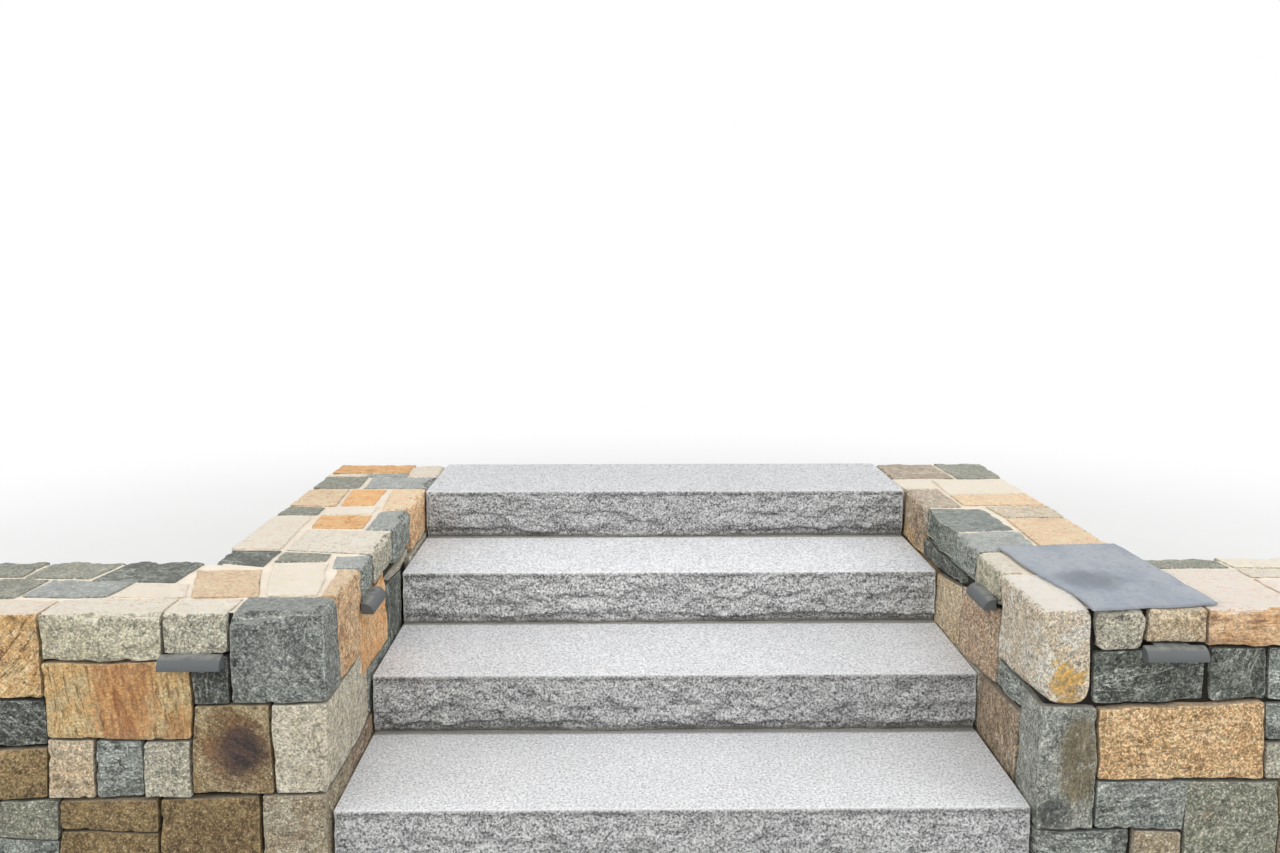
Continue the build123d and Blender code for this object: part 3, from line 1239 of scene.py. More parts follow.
    def _pitched(self, points: np.ndarray, half: np.ndarray, shift: np.ndarray) -> np.ndarray:
        """Breaks the arris between the head and each other shown face.

        Args:
            points: The worked points.
            half: Half the block's size.
            shift: The stone's place in the noise.

        Returns:
            The points with the broken arrises.
        """
        for side in sorted(self.shown - {Side.HEAD}, key=lambda side: side.value):
            axis, out = side.axis, side.out
            depth = (half[axis] - out * points[:, axis]) + (half[1] - points[:, 1])
            width = self.dressing.pitch * (1 + 1.1 * ROUGH.layered(points + shift, PITCH_SIZE, 3))
            short = np.maximum(width - depth, 0) / 2
            points[:, axis] -= out * short
            points[:, 1] -= short
        return points


def upright(low: float, high: float, foot: float, head: float) -> tuple[Point, ...]:
    """The corners of a squared stone, anticlockwise from the low foot."""
    return (low, foot), (high, foot), (high, head), (low, head)


@dataclass(frozen=True)
class Laid:
    """A listed stone."""

    # Its four corners, anticlockwise from the low foot, or in plan from the near low one
    outline: Sequence[Point]
    kind: Kind  # Its kind of stone
    dip: float = 0.0  # The angle of its bedding in degrees
    dressing: Dressing | None = None  # How it is worked, if not as its place asks
    foot: float = 0.0  # The height of its bed, for a tall stone of the top course


def shrunk(quad: Quad, joint: float) -> Quad:
    """Moves each side of a quad in by half a joint.

    Args:
        quad: Four corners, anticlockwise.
        joint: The width of the joint between two stones.

    Returns:
        The smaller quad.
    """
    normals, levels = [], []
    for start, end in zip(quad, np.roll(quad, -1, axis=0)):
        side = (end - start) / np.linalg.norm(end - start)
        inward = np.array([-side[1], side[0]])
        normals.append(inward)
        levels.append(inward @ start + joint / 2)
    corners = []
    for number in range(4):
        pair = np.array([normals[number - 1], normals[number]])
        corners.append(np.linalg.solve(pair, [levels[number - 1], levels[number]]))
    return np.array(corners)


def divided(quad: Quad, widest: float, tallest: float, dice: random.Random) -> list[Quad]:
    """Divides a quad into stones by slanted joints, until each is small enough.

    Args:
        quad: Four corners, anticlockwise from the low foot.
        widest: The greatest width of a stone.
        tallest: The greatest height of a stone.
        dice: The source of random numbers.

    Returns:
        The stones' quads.
    """
    foot_low, foot_high, head_high, head_low = quad
    width = (np.linalg.norm(foot_high - foot_low) + np.linalg.norm(head_high - head_low)) / 2
    height = (np.linalg.norm(head_low - foot_low) + np.linalg.norm(head_high - foot_high)) / 2
    if width <= widest and height <= tallest:
        return [quad]
    share = dice.uniform(0.36, 0.64)
    other = share + dice.uniform(-0.05, 0.05)
    if width / widest > height / tallest:
        foot = foot_low + share * (foot_high - foot_low)
        head = head_low + other * (head_high - head_low)
        parts = ([foot_low, foot, head, head_low], [foot, foot_high, head_high, head])
    else:
        low = foot_low + share * (head_low - foot_low)
        high = foot_high + other * (head_high - foot_high)
        parts = ([foot_low, foot_high, high, low], [low, high, head_high, head_low])
    return [found for part in parts for found in divided(np.array(part), widest, tallest, dice)]


@functools.cache
def material_of(finish: Any) -> bpy.types.Material:
    """Makes the material of a finish, once for all the pieces that have it."""
    return finish.material()


def linked(name: str, data: bpy.types.ID) -> bpy.types.Object:
    """Makes an object of a mesh, lamp or camera in the scene.

    Args:
        name: The object's name.
        data: What it shows.

    Returns:
        The object.
    """
    made = bpy.data.objects.new(name, data)
    bpy.context.scene.collection.objects.link(made)
    return made


def settle(
    name: str,
    nodes: Sequence[str],
    shape: tuple[np.ndarray, Faces],
    finishes: Sequence[Any],
    stored: dict[str, np.ndarray] | None = None,
    chosen: Sequence[int] = (),
) -> None:
    """Makes a piece of the scene and ties it to the part.

    Args:
        name: The piece's name.
        nodes: The CAD nodes that it stands for.
        shape: Its points, and the faces that join them.
        finishes: The finishes on it.
        stored: A number or a vector for each point, by the name that a finish reads.
        chosen: Which of the finishes each face has, if there are several.
    """
    points, faces = shape
    mesh = bpy.data.meshes.new(name)
    mesh.from_pydata(points.tolist(), [], faces)
    for label, values in (stored or {}).items():
        kind, entry = ("FLOAT_VECTOR", "vector") if values.ndim == 2 else ("FLOAT", "value")
        layer = mesh.attributes.new(label, kind, "POINT")
        layer.data.foreach_set(entry, values.astype(np.float32).ravel())
    for finish in finishes:
        mesh.materials.append(material_of(finish))
    if chosen:
        mesh.polygons.foreach_set("material_index", chosen)
    mesh.polygons.foreach_set("use_smooth", [True] * len(faces))
    mesh.set_sharp_from_angle(angle=SHARP_ANGLE)
    mesh.validate()
    piece = linked(name, mesh)
    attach(piece, ROOT)
    if nodes:
        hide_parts(*nodes)
    LOG.info("%s: %d faces", name, len(faces))


@dataclass
class Masonry:
    """Gathers the stones of one piece into a mesh."""

    name: str  # The piece's name
    limit: Callable[[np.ndarray], np.ndarray]  # Keeps the mesh inside the part's own outline
    head: float  # The height of the walls' tops
    dice: random.Random  # The source of random numbers
    # Each stone's points, in the part's frame
    points: list[np.ndarray] = field(default_factory=list)
    faces: Faces = field(default_factory=list)  # The faces of all the stones
    chosen: list[int] = field(default_factory=list)  # The number of each face's kind of stone
    grain: list[np.ndarray] = field(default_factory=list)  # Each point's place in its stone's grain
    # Each point's distance from the nearest arris
    rims: list[np.ndarray] = field(default_factory=list)
    # Three random numbers for each stone, on each of its points
    draws: list[np.ndarray] = field(default_factory=list)
    kinds: list[Kind] = field(default_factory=list)  # The kinds of stone that it has
    count: int = 0  # How many points it has

    def lay(self, stone: Stone, frame: Frame) -> None:
        """Adds one stone.

        Args:
            stone: The stone, in the frame's distances.
            frame: The wall face that it lies in.
        """
        points, faces, grain, rim = stone.mesh(frame, self.dice)
        placed = self.limit(BEND.apply(points, self.head))
        if stone.kind not in self.kinds:
            self.kinds.append(stone.kind)
        self.faces += [tuple(number + self.count for number in face) for face in faces]
        self.chosen += [self.kinds.index(stone.kind)] * len(faces)
        draw = np.array([self.dice.random() for _ in range(3)])
        self.draws.append(np.tile(draw, (len(placed), 1)))
        self.grain.append(grain + GRAIN_SHIFT * draw)
        self.rims.append(rim)
        self.points.append(placed)
        self.count += len(placed)

    def build(self, slot: str, nodes: Sequence[str] = ()) -> None:
        """Makes the piece of the stones laid so far.

        Args:
            slot: The record's material slot; it is not used.
            nodes: The CAD nodes that the piece stands for.
        """
        layers = {"stone": self.draws, "grain": self.grain, "rim": self.rims}
        stored = {name: np.concatenate(rows) for name, rows in layers.items()}
        shape = (np.concatenate(self.points), self.faces)
        finishes = [kind.value for kind in self.kinds]
        settle(self.name, nodes, shape, finishes, stored, self.chosen)


# The greatest width and height of a stone where a face, a top and the rear of the bedding are
# filled by division, in metres.
FACE_STONE = (0.34, 0.19)
TOP_STONE = (0.27, 0.19)
REAR_STONE = (0.4, 0.18)

# The angles that the bedding of a stone laid by division is drawn from, in degrees.
FILL_DIPS = (0, 0, 0, 85, 50)

# The side and the height of a face's corners, anticlockwise from the low foot.
ROUND_A_FACE = ((0, 0), (1, 0), (1, 1), (0, 1))


def corners_in_face(quad: Quad, near: float, deep: float) -> np.ndarray:
    """Eight corners of a stone whose outline is drawn on a wall face.

    Args:
        quad: The outline, anticlockwise from the low foot.
        near: How far in its face is.
        deep: How far in its back is.

    Returns:
        The corners, indexed by side, height and front.
    """
    corners = np.zeros((2, 2, 2, 3))
    for (side, height), spot in zip(ROUND_A_FACE, quad):
        corners[side, height] = (*spot, deep), (*spot, near)
    return corners


def corners_in_plan(
    quad: Quad, foot: float, head: float, lean: Callable[[float], float]
) -> np.ndarray:
    """Eight corners of a stone whose outline is drawn in plan.

    Args:
        quad: The outline as distances out and back, anticlockwise from the near low corner.
        foot: The height of its bed.
        head: The height of its top.
        lean: How far the near corners move back at a height.

    Returns:
        The corners, indexed by side, height and front.
    """
    corners = np.zeros((2, 2, 2, 3))
    for height, level in enumerate((foot, head)):
        for (side, far), (out, back) in zip(ROUND_A_FACE, quad):
            corners[side, height, 1 - far] = (out, level, back if far else back + lean(level))
    return corners


def plumb(height: float) -> float:
    """A plumb front: no lean at any height."""
    return 0.0


def kept_between(values: np.ndarray, low: float, high: float, ease: float = 0.004) -> np.ndarray:
    """Keeps values between two limits, and eases them in near the limits.

    Args:
        values: The values.
        low: The lower limit.
        high: The upper limit.
        ease: The distance over which the limits are felt.

    Returns:
        The kept values.
    """
    above, under = values - low, high - values
    values = low + (above + np.sqrt(above**2 + ease**2)) / 2
    over = values - high + (under + np.sqrt(under**2 + ease**2)) / 2
    return np.clip(np.where(under < above, values - over, values), low, high)


@dataclass
class Sizes:
    """The part's main sizes in metres, read from the fixed frame."""

    inner: float  # How far the cheeks' inner faces are from the middle
    outer: float  # How far their outer faces are
    end: float  # How far the wings reach
    back: float  # The y of the rear
    wing_back: float  # The y of the wings' rear
    foot_front: float  # The y of the wings' face at the ground
    head_front: float  # The y of the wings' face at the top
    bed: float  # The height of the top course's bed
    head: float  # The height of the walls

    @classmethod
    def read(cls) -> "Sizes":
        """Reads the sizes from the boxes of the nodes.

        Returns:
            The sizes.
        """
        wall_low, wall_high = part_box("right_wing_wall")
        cheek_low, cheek_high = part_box("right_cheek_wall")
        top_low, top_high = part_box("right_cheek_top_course")
        course_low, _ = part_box("right_wing_top_course")
        batter = (course_low.y - wall_low.y) / top_low.z
        return cls(
            inner=cheek_low.x,
            outer=cheek_high.x,
            end=wall_high.x,
            back=cheek_high.y,
            wing_back=wall_high.y,
            foot_front=wall_low.y,
            head_front=wall_low.y + batter * top_high.z,
            bed=top_low.z,
            head=top_high.z,
        )

    @property
    def width(self) -> float:
        """How thick a cheek is."""
        return self.outer - self.inner

    @property
    def reach(self) -> float:
        """How far a wing reaches out from the cheek's inner face."""
        return self.end - self.inner

    @property
    def batter(self) -> float:
        """How far the wing face leans in for each metre of height."""
        return (self.head_front - self.foot_front) / self.head

    def lean(self, height: float) -> float:
        """How far back the wing face is at a height, measured from its upper edge."""
        return self.batter * (height - self.head)


@dataclass(frozen=True)
class Quoin:
    """A corner stone."""

    node: str  # Its CAD node
    slot: str  # Its material slot
    width: float  # Its width along the wing
    back: float  # The y of its back
    foot: float  # The height of its foot
    head: float  # The height of its head
    kind: Kind  # Its kind of stone
    dressing: Dressing = QUOIN  # How it is worked
    dip: float = 0.0  # The angle of its bedding in degrees


@dataclass
class WallSide:
    """One side of the stairs: cheek wall and wing wall, with their stones, core and quoins."""

    name: str  # left or right
    hand: int  # -1 on the left and 1 on the right
    sizes: Sizes  # The part's sizes
    wing_face: Sequence[Laid]  # Stones listed in the wing's face, out from the inner face
    cheek_face: Sequence[Laid]  # Stones listed in the cheek's face, by their y
    # Stones of the top course in plan, out from the inner face and by their y
    cover: Sequence[Laid]
    wing_gaps: Sequence[Sequence[Point]]  # Parts of the wing's face that are filled by division
    cheek_gaps: Sequence[Sequence[Point]]  # Parts of the cheek's face that are filled by division
    top_gaps: Sequence[Sequence[Point]]  # Parts of the plan that are filled by division
    quoins: Sequence[Quoin]  # The corner's stones, from the ground up
    seed: int  # The seed of its random numbers
    proud: float = 0.003  # How far the wing's stones stand out of its plane
    inset: float = 0.002  # How far the cheek's stones lie behind its plane
    joint: float = 0.004  # The width of a joint on a face
    top_joint: float = 0.006  # The width of a joint on top
    depth: float = 0.10  # How deep the stones run
    rake: float = 0.026  # How far the joints are raked back
    sunk: float = 0.0068  # How far the mortar on top lies under the walls' height
    top_low: float = 0.001  # How far the stones on top lie under it
    quoin_low: float = 0.0005  # How far the top quoin lies under it
    swing: float = 6.0  # How far the bedding of a listed stone turns, in degrees
    fill_swing: float = 8.0  # How far the bedding of a stone laid by division turns

    def __post_init__(self) -> None:
        """Sets up the frames of the wall's faces."""
        sizes, hand = self.sizes, float(self.hand)
        self.dice = random.Random(self.seed)
        inner, outer, end = hand * sizes.inner, hand * sizes.outer, hand * sizes.end
        out = hand * RIGHT
        self.plan = Frame((inner, 0.0, 0.0), out, BACK)
        self.wing_front = Frame((inner, sizes.foot_front, 0.0), out, BACK, sizes.batter)
        self.wing_rear = Frame((inner, sizes.wing_back, 0.0), out, -BACK)
        self.wing_end = Frame((end, 0.0, 0.0), BACK, -out)
        self.cheek_inner = Frame((inner, 0.0, 0.0), BACK, out)
        self.cheek_outer = Frame((outer, 0.0, 0.0), BACK, -out)
        self.rear = Frame((inner, sizes.back, 0.0), out, -BACK)

    def limit(self, points: np.ndarray) -> np.ndarray:
        """Keeps points inside the side's own outline.

        Args:
            points: The points, in the part's frame.

        Returns:
            The kept points.
        """
        sizes = self.sizes
        low, high = sorted((self.hand * sizes.inner, self.hand * sizes.end))
        across = kept_between(points[:, 0], low, high)
        back = kept_between(points[:, 1], sizes.foot_front, sizes.back)
        return np.column_stack([across, back, np.clip(points[:, 2], 0.0, sizes.head)])

    def masonry(self, part: str) -> Masonry:
        """Starts a piece of this side."""
        return Masonry(f"{self.name}_{part}", self.limit, self.sizes.head, self.dice)

    def build(self) -> None:
        """Builds every piece of this side."""
        sizes, rake = self.sizes, self.rake
        front, back = sizes.head_front + rake, sizes.wing_back - rake
        self._core("wing", upright(rake, sizes.reach - rake, front, back), sizes.lean)
        rear = upright(rake, sizes.width - rake, sizes.wing_back - 2 * rake, sizes.back - rake)
        self._core("cheek", rear, plumb)
        for quoin in self.quoins:
            self._quoin(quoin)
        for part, frame, near, laid, gaps in (
            ("wing_face_stones", self.wing_front, -self.proud, self.wing_face, self.wing_gaps),
            ("cheek_face_stones", self.cheek_inner, self.inset, self.cheek_face, self.cheek_gaps),
        ):
            piece = self.masonry(part)
            for stone in laid:
                self._lay(piece, frame, stone, near)
            for gap in gaps:
                self._fill(piece, frame, gap, near, FILL_CELL)
            piece.build("fieldstone")
        self._top()
        self._unseen_faces()

    def _lay(self, piece: Masonry, frame: Frame, laid: Laid, near: float) -> None:
        """Lays one listed stone in a face.

        Args:
            piece: The piece that the stone belongs to.
            frame: The wall face.
            laid: The stone.
            near: How far in its face is.
        """
        quad = shrunk(np.array(laid.outline), self.joint)
        corners = corners_in_face(quad, near, self.depth)
        dip = laid.dip + self.dice.uniform(-self.swing, self.swing)
        stone = Stone(corners, laid.kind, FRONT_ONLY, laid.dressing or SPLIT, FACE_CELL, dip)
        piece.lay(stone, frame)

    def _fill(
        self, piece: Masonry, frame: Frame, gap: Sequence[Point], near: float, cell: float
    ) -> None:
        """Fills part of a face with stones by division.

        Args:
            piece: The piece that the stones belong to.
            frame: The wall face.
            gap: The corners of the part.
            near: How far in the stones' faces are.
            cell: The lattice's cell.
        """
        for part in divided(np.array(gap), *FACE_STONE, self.dice):
            kind = self.dice.choice(FACE_MIX)
            rough = kind in (Kind.DARK, Kind.BLACK, Kind.BLUE_GREY)
            dip = self.dice.choice(FILL_DIPS) + self.dice.uniform(-self.fill_swing, self.fill_swing)
            corners = corners_in_face(shrunk(part, self.joint), near, self.depth)
            dressing = ROCK_FACED if rough else SPLIT
            piece.lay(Stone(corners, kind, FRONT_ONLY, dressing, cell, dip), frame)

    def _top(self) -> None:
        """Lays the stones of the top course, listed and by division."""
        pieces = {part: self.masonry(f"{part}_top_stones") for part in ("wing", "cheek")}
        stones = list(self.cover)
        for gap in self.top_gaps:
            for quad in divided(np.array(gap), *TOP_STONE, self.dice):
                stones.append(Laid(quad.tolist(), self.dice.choice(TOP_MIX)))
        for laid in stones:
            quad = np.array(laid.outline)
            shown = {Side.HEAD}
            outline = self._to_faces(quad, shown)
            foot = (laid.foot or self.sizes.bed) + self.joint / 2
            lean = self.sizes.lean if Side.FRONT in shown else plumb
            corners = corners_in_plan(outline, foot, self.sizes.head - self.top_low, lean)
            on_cheek = quad[:, 1].mean() >= self.sizes.wing_back
            plain = {Side.HEAD, Side.HIGH, Side.BACK} if on_cheek else {Side.HEAD}
            dressing = laid.dressing or (EDGE_STONE if shown - plain else FLAT_TOP)
            dip = laid.dip + self.dice.uniform(-self.swing, self.swing)
            stone = Stone(corners, laid.kind, frozenset(shown), dressing, TOP_CELL, dip)
            pieces["cheek" if on_cheek else "wing"].lay(stone, self.plan)
        for part, piece in pieces.items():
            piece.build("fieldstone", [f"{self.name}_{part}_top_course"])

    def _to_faces(self, quad: Quad, shown: set[Side]) -> Quad:
        """Leaves a top stone its joints, and runs it out to the wall's faces where it meets them.

        Args:
            quad: The stone's full outline in plan.
            shown: The faces that show, which this adds to.

        Returns:
            The outline less its joints.
        """
        sizes, near, inset = self.sizes, 0.004, self.inset
        outline = shrunk(quad, self.top_joint)
        on_cheek = quad[:, 1].mean() > sizes.wing_back
        past_cheek = quad[:, 0].mean() > sizes.width
        edges = (
            ((0, 1), 1, sizes.head_front, -self.proud, Side.FRONT, True),
            ((0, 3), 0, 0.0, inset, Side.LOW, True),
            ((1, 2), 0, sizes.reach, -inset, Side.HIGH, True),
            ((1, 2), 0, sizes.width, -inset, Side.HIGH, on_cheek),
            ((2, 3), 1, sizes.back, -inset, Side.BACK, True),
            ((2, 3), 1, sizes.wing_back, -inset, Side.BACK, past_cheek),
        )
        for ends, axis, level, move, side, is_open in edges:
            if is_open and all(abs(quad[number][axis] - level) < near for number in ends):
                shown.add(side)
                for number in ends:
                    outline[number][axis] = level + move
        return outline

    def _core(
        self, part: str, outline: Sequence[Point], lean: Callable[[float], float]
    ) -> None:
        """Makes the mortar and rubble inside a wall.

        Args:
            part: wing or cheek.
            outline: Its plan, raked back from the faces.
            lean: The lean of its front.
        """
        shown = frozenset(Side) - {Side.FOOT}
        level = self.sizes.head - self.sunk
        corners = corners_in_plan(np.array(outline), 0.0, level, lean)
        stone = Stone(corners, Kind.CREAM, shown, PLAIN, PLAIN_CELL)
        points, faces, _, _ = stone.mesh(self.plan, self.dice)
        shape = (self.limit(BEND.apply(points, self.sizes.head)), faces)
        name = f"{self.name}_{part}"
        settle(f"{name}_core", [f"{name}_wall"], shape, [MORTAR])

    def _quoin(self, quoin: Quoin) -> None:
        """Makes one stone of the corner, which stands for its own node.

        Args:
            quoin: The stone.
        """
        sizes, gap = self.sizes, self.joint / 2
        is_top = quoin.head >= sizes.head
        low, near = self.inset / 2, sizes.head_front - self.proud
        outline = np.array(upright(low, quoin.width - gap, near, quoin.back - gap))
        foot = quoin.foot + (gap if quoin.foot > 0 else 0)
        head = sizes.head - self.quoin_low if is_top else quoin.head - gap
        corners = corners_in_plan(outline, foot, head, sizes.lean)
        shown = {Side.FRONT, Side.LOW} | ({Side.HEAD} if is_top else set())
        piece = Masonry(f"{quoin.node}_stone", self.limit, sizes.head, self.dice)
        stone = Stone(corners, quoin.kind, frozenset(shown), quoin.dressing, FACE_CELL, quoin.dip)
        piece.lay(stone, self.plan)
        piece.build(quoin.slot, [quoin.node])

    def _unseen_faces(self) -> None:
        """Repeats the stonework on the faces that the photo doesn't show."""
        sizes, bed, near = self.sizes, self.sizes.bed, self.inset
        wing = self.masonry("wing_rear_stones")
        rear = upright(sizes.width, sizes.reach, 0.0, bed)
        self._fill(wing, self.wing_rear, rear, near, PLAIN_CELL)
        ends = (
            (sizes.foot_front, 0.0),
            (sizes.wing_back, 0.0),
            (sizes.wing_back, bed),
            (sizes.head_front + sizes.lean(bed), bed),
        )
        self._fill(wing, self.wing_end, ends, near, PLAIN_CELL)
        wing.build("fieldstone")
        cheek = self.masonry("cheek_outer_stones")
        outer = upright(sizes.wing_back, sizes.back, 0.0, bed)
        self._fill(cheek, self.cheek_outer, outer, near, PLAIN_CELL)
        self._fill(cheek, self.rear, upright(0.0, sizes.width, 0.0, bed), near, PLAIN_CELL)
        cheek.build("fieldstone")


@dataclass(frozen=True)
class Wave:
    """Noise along a riser."""

    start: float  # Where in the noise it starts
    size: float  # The size of its waves in metres
    height: float = 1.0  # How strong it is

    def at(self, line: np.ndarray) -> np.ndarray:
        """Its value at each place along the riser."""
        return self.height * ROUGH.at(line + self.start, self.size)


LEDGE_WAVES = (Wave(0, 0.24), Wave(5, 0.075, 0.5), Wave(9, 0.03, 0.2))
SHELF_WAVES = (Wave(21, 0.19), Wave(25, 0.06, 0.5), Wave(29, 0.025, 0.2))
BELLY_WAVE = Wave(13, 0.3, 0.3)
DROP_WAVE = Wave(17, 0.32, 0.9)
SHELF_DROP_WAVE = Wave(33, 0.2, 1.2)


@dataclass(frozen=True)
class Strikes:
    """Flakes struck off a riser."""

    count: int  # How many there are
    radii: Point  # The smallest and the greatest radius in metres
    depths: Point  # The smallest and the greatest depth in metres

    def depth(
        self, along: np.ndarray, up: np.ndarray, length: float, head: float, dice: random.Random
    ) -> np.ndarray:
        """How deep the flakes are at each point of a riser.

        Args:
            along: The points' places along the riser, from its middle.
            up: Their heights.
            length: The riser's length.
            head: The height under which the flakes lie.
            dice: The source of random numbers.

        Returns:
            The depths.
        """
        struck = np.zeros(len(along))
        for _ in range(self.count):
            middle, level = dice.uniform(-length / 2, length / 2), dice.uniform(-0.01, head)
            radius, depth = dice.uniform(*self.radii), dice.uniform(*self.depths)
            away = (along - middle) ** 2 + (1.25 * (up - level)) ** 2
            inside = np.sqrt(np.maximum(radius**2 - away, 0)) - (radius - depth)
            struck = np.maximum(struck, inside)
        return struck


@dataclass
class Flight:
    """The granite slabs, with thermal treads and rock-faced risers."""

    belly: float = 0.0145  # How far the rock face stands out
    ledge: float = 0.032  # The height of the ragged ledge over the slab's foot
    ledge_swing: float = 0.016  # How far the ledge wanders
    shelf: float = 0.088  # The height of the broken shelf over it
    shelf_swing: float = 0.034  # How far the shelf wanders
    shelf_drop: float = 0.0055  # How far the face falls back under the shelf
    shelf_ease: float = 0.005  # The height over which it falls back there
    shelf_reach: float = 0.045  # The height over which it comes forward again
    margin: float = 0.010  # The height of the straight margin under the arris
    margin_out: float = 0.002  # How far the margin stands out at its foot
    margin_ease: float = 0.008  # The height under it over which the flakes set in
    drop: float = 0.015  # How far the face falls back under the ledge
    drop_ease: float = 0.012  # The height over which it falls back
    broad: Strikes = Strikes(110, (0.05, 0.2), (0.002, 0.009))  # The broad flakes
    small: Strikes = Strikes(420, (0.014, 0.045), (0.0015, 0.0045))  # The small ones
    rough: float = 0.0022  # How high its lumps are
    rough_size: float = 0.034  # How broad its lumps are
    ridge: float = 0.005  # How high the ridges of its chips are
    ridge_size: float = 0.017  # How broad its chips are
    reach: float = 0.05  # How far in from the riser its shape is felt
    deepest: float = 0.006  # How far in it may be cut from the slab's own face
    past_box: float = 0.004  # How far out of its node's box it may stand
    full_hollow: float = 0.016  # The depth of a hollow that gets the darkest painted shade
    flamed: float = 0.0005  # How rough a tread is
    flamed_size: float = 0.08  # How broad its waves are
    flamed_ease: float = 0.004  # The height under the tread over which they set in
    front: float = 0.02  # How far in a point still counts as the riser's
    soil_height: float = 0.022  # How high dirt lies on a riser's foot
    soil_width: float = 0.03  # How far out dirt lies on a tread's rear
    soil_start: float = 0.012  # How far before the next riser's own face it starts
    steps: int = 4  # How many slabs there are
    cell: float = 0.0045  # The lattice's cell on a riser
    tread_cell: float = 0.022  # The lattice's cell across a tread
    arris: float = 0.0022  # The radius of the front arris
    seed: int = 5  # The seed of its random numbers
    # How bright each slab's granite is, from the ground up: painted light and shade, one level for
    # each slab
    tones: Sequence[float] = (0.97, 1.0, 1.05, 0.87)

    def build(self) -> None:
        """Builds each slab in its node's place."""
        for number in range(1, self.steps + 1):
            self._slab(number)

    def _slab(self, number: int) -> None:
        """Builds one slab.

        Args:
            number: The step, counted from the ground.
        """
        node = f"step_{number}"
        low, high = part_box(node)
        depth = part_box("step_1")[1].y
        size = np.array([high.x - low.x, high.z - low.z, depth])
        half = size / 2
        frame = Frame((0.0, high.y - depth, low.z), RIGHT, BACK)
        cells = (self.cell, self.cell, self.tread_cell)
        lines = [spread(size[axis], cells[axis], self.arris) for axis in range(3)]
        grid, faces = Lattice(lines, frozenset({Side.FRONT, Side.HEAD})).build()
        block = rounded(grid, half, self.arris)
        spots = np.stack([block[:, 0], block[:, 1] + half[1], half[2] - block[:, 2]], axis=1)
        soil = self._soil(spots, self._open_depth(number))
        spots, hollow = self._rock_face(spots, size, random.Random(self.seed + number))
        placed = frame.place(spots)
        placed[:, 1] = np.maximum(placed[:, 1], low.y - self.past_box)
        stored = {
            "hollow": hollow,
            "rim": edge_distance(grid, half),
            "soil": soil,
            # Each slab's painted light and shade.
            "tone": np.full(len(placed), self.tones[number - 1]),
        }
        settle(f"{node}_slab", [node], (placed, faces), [GRANITE], stored)

    def _open_depth(self, number: int) -> float:
        """How far in the next riser stands on a slab."""
        rears = [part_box(f"step_{step}")[1].y for step in range(1, self.steps + 1)]
        return rears[number] - rears[number - 1] if number < self.steps else math.inf

    def _soil(self, spots: np.ndarray, open_depth: float) -> np.ndarray:
        """How much dirt lies at a riser's foot and at a tread's rear.

        Args:
            spots: The slab's points as distances along, up and in.
            open_depth: How far in the next riser stands.

        Returns:
            A share from 0 to 1 for each point.
        """
        on_riser = spots[:, 2] < self.front
        foot = np.clip(1 - spots[:, 1] / self.soil_height, 0, 1) * on_riser
        clear = open_depth - self.soil_start - spots[:, 2]
        rear = np.clip(1 - clear / self.soil_width, 0, 1) * ~on_riser
        return np.maximum(foot, rear)

    def _profile(
        self, along: np.ndarray, up: np.ndarray, height: float, shift: np.ndarray
    ) -> tuple[np.ndarray, np.ndarray]:
        """The riser before flakes are struck off it: a belly, a shelf and a ragged ledge.

        Args:
            along: The points' places along the riser.
            up: Their heights.
            height: The slab's height.
            shift: The slab's place in the noise.

        Returns:
            How far each point stands out, and how far under the ledge it is, from 0 to 1.
        """
        line = np.column_stack([along, np.zeros(len(along)), np.zeros(len(along))]) + shift
        ledge = self.ledge + self.ledge_swing * sum(wave.at(line) for wave in LEDGE_WAVES)
        share = np.clip((height - self.margin - up) / (height - self.margin - ledge), 0, 1)
        belly = self.belly * (1 + BELLY_WAVE.at(line))
        proud = self.margin_out + (belly - self.margin_out) * np.sin(share * math.pi / 2)
        under = np.clip((ledge - up) / self.drop_ease, 0, 1)
        proud -= under * self.drop * np.clip(0.65 + DROP_WAVE.at(line), 0, 1.2)
        below = self.shelf + self.shelf_swing * sum(wave.at(line) for wave in SHELF_WAVES) - up
        step = np.clip(below / self.shelf_ease, 0, 1)
        step *= np.clip(1 - below / self.shelf_reach, 0, 1)
        proud -= self.shelf_drop * step * np.clip(0.6 + SHELF_DROP_WAVE.at(line), 0, 1.3)
        return proud, under

    def _rock_face(
        self, spots: np.ndarray, size: np.ndarray, dice: random.Random
    ) -> tuple[np.ndarray, np.ndarray]:
        """Shapes the riser, with flakes struck off it.

        Args:
            spots: The slab's points as distances along, up and in.
            size: The slab's length, height and depth.
            dice: The source of random numbers.

        Returns:
            The shaped points, and how deep each lies in a hollow, from 0 to 1.
        """
        height, along, up = size[1], spots[:, 0], spots[:, 1]
        below_margin = height - self.margin - up
        shift = np.array([dice.uniform(0, 30) for _ in range(3)])
        proud, under = self._profile(along, up, height, shift)
        area = (along, up, size[0], height - self.margin, dice)
        flakes = self.broad.depth(*area) + self.small.depth(*area)
        here = spots + shift
        rough = self.rough * (0.8 + ROUGH.layered(here, self.rough_size, 4))
        ridges = 0.6 * ROUGH.ridged(here, self.ridge_size)
        ridges += 0.4 * ROUGH.ridged(here, FINE_CHIP_SIZE)
        struck = flakes + rough + self.ridge * (1 - ridges)
        clear = np.clip(below_margin / self.margin_ease, 0, 1)
        straight = self.margin_out * np.clip((height - up) / self.margin, 0, 1)
        broken = proud - clear * struck
        moved = np.where(below_margin > 0, broken, straight)
        near = np.clip(1 - spots[:, 2] / self.reach, 0, 1)
        spots[:, 2] -= near * np.maximum(moved, -self.deepest)
        tread = np.clip((up - height + self.flamed_ease) / self.flamed_ease, 0, 1)
        spots[:, 1] -= tread * self.flamed * (1 + ROUGH.layered(spots + shift, self.flamed_size, 3))
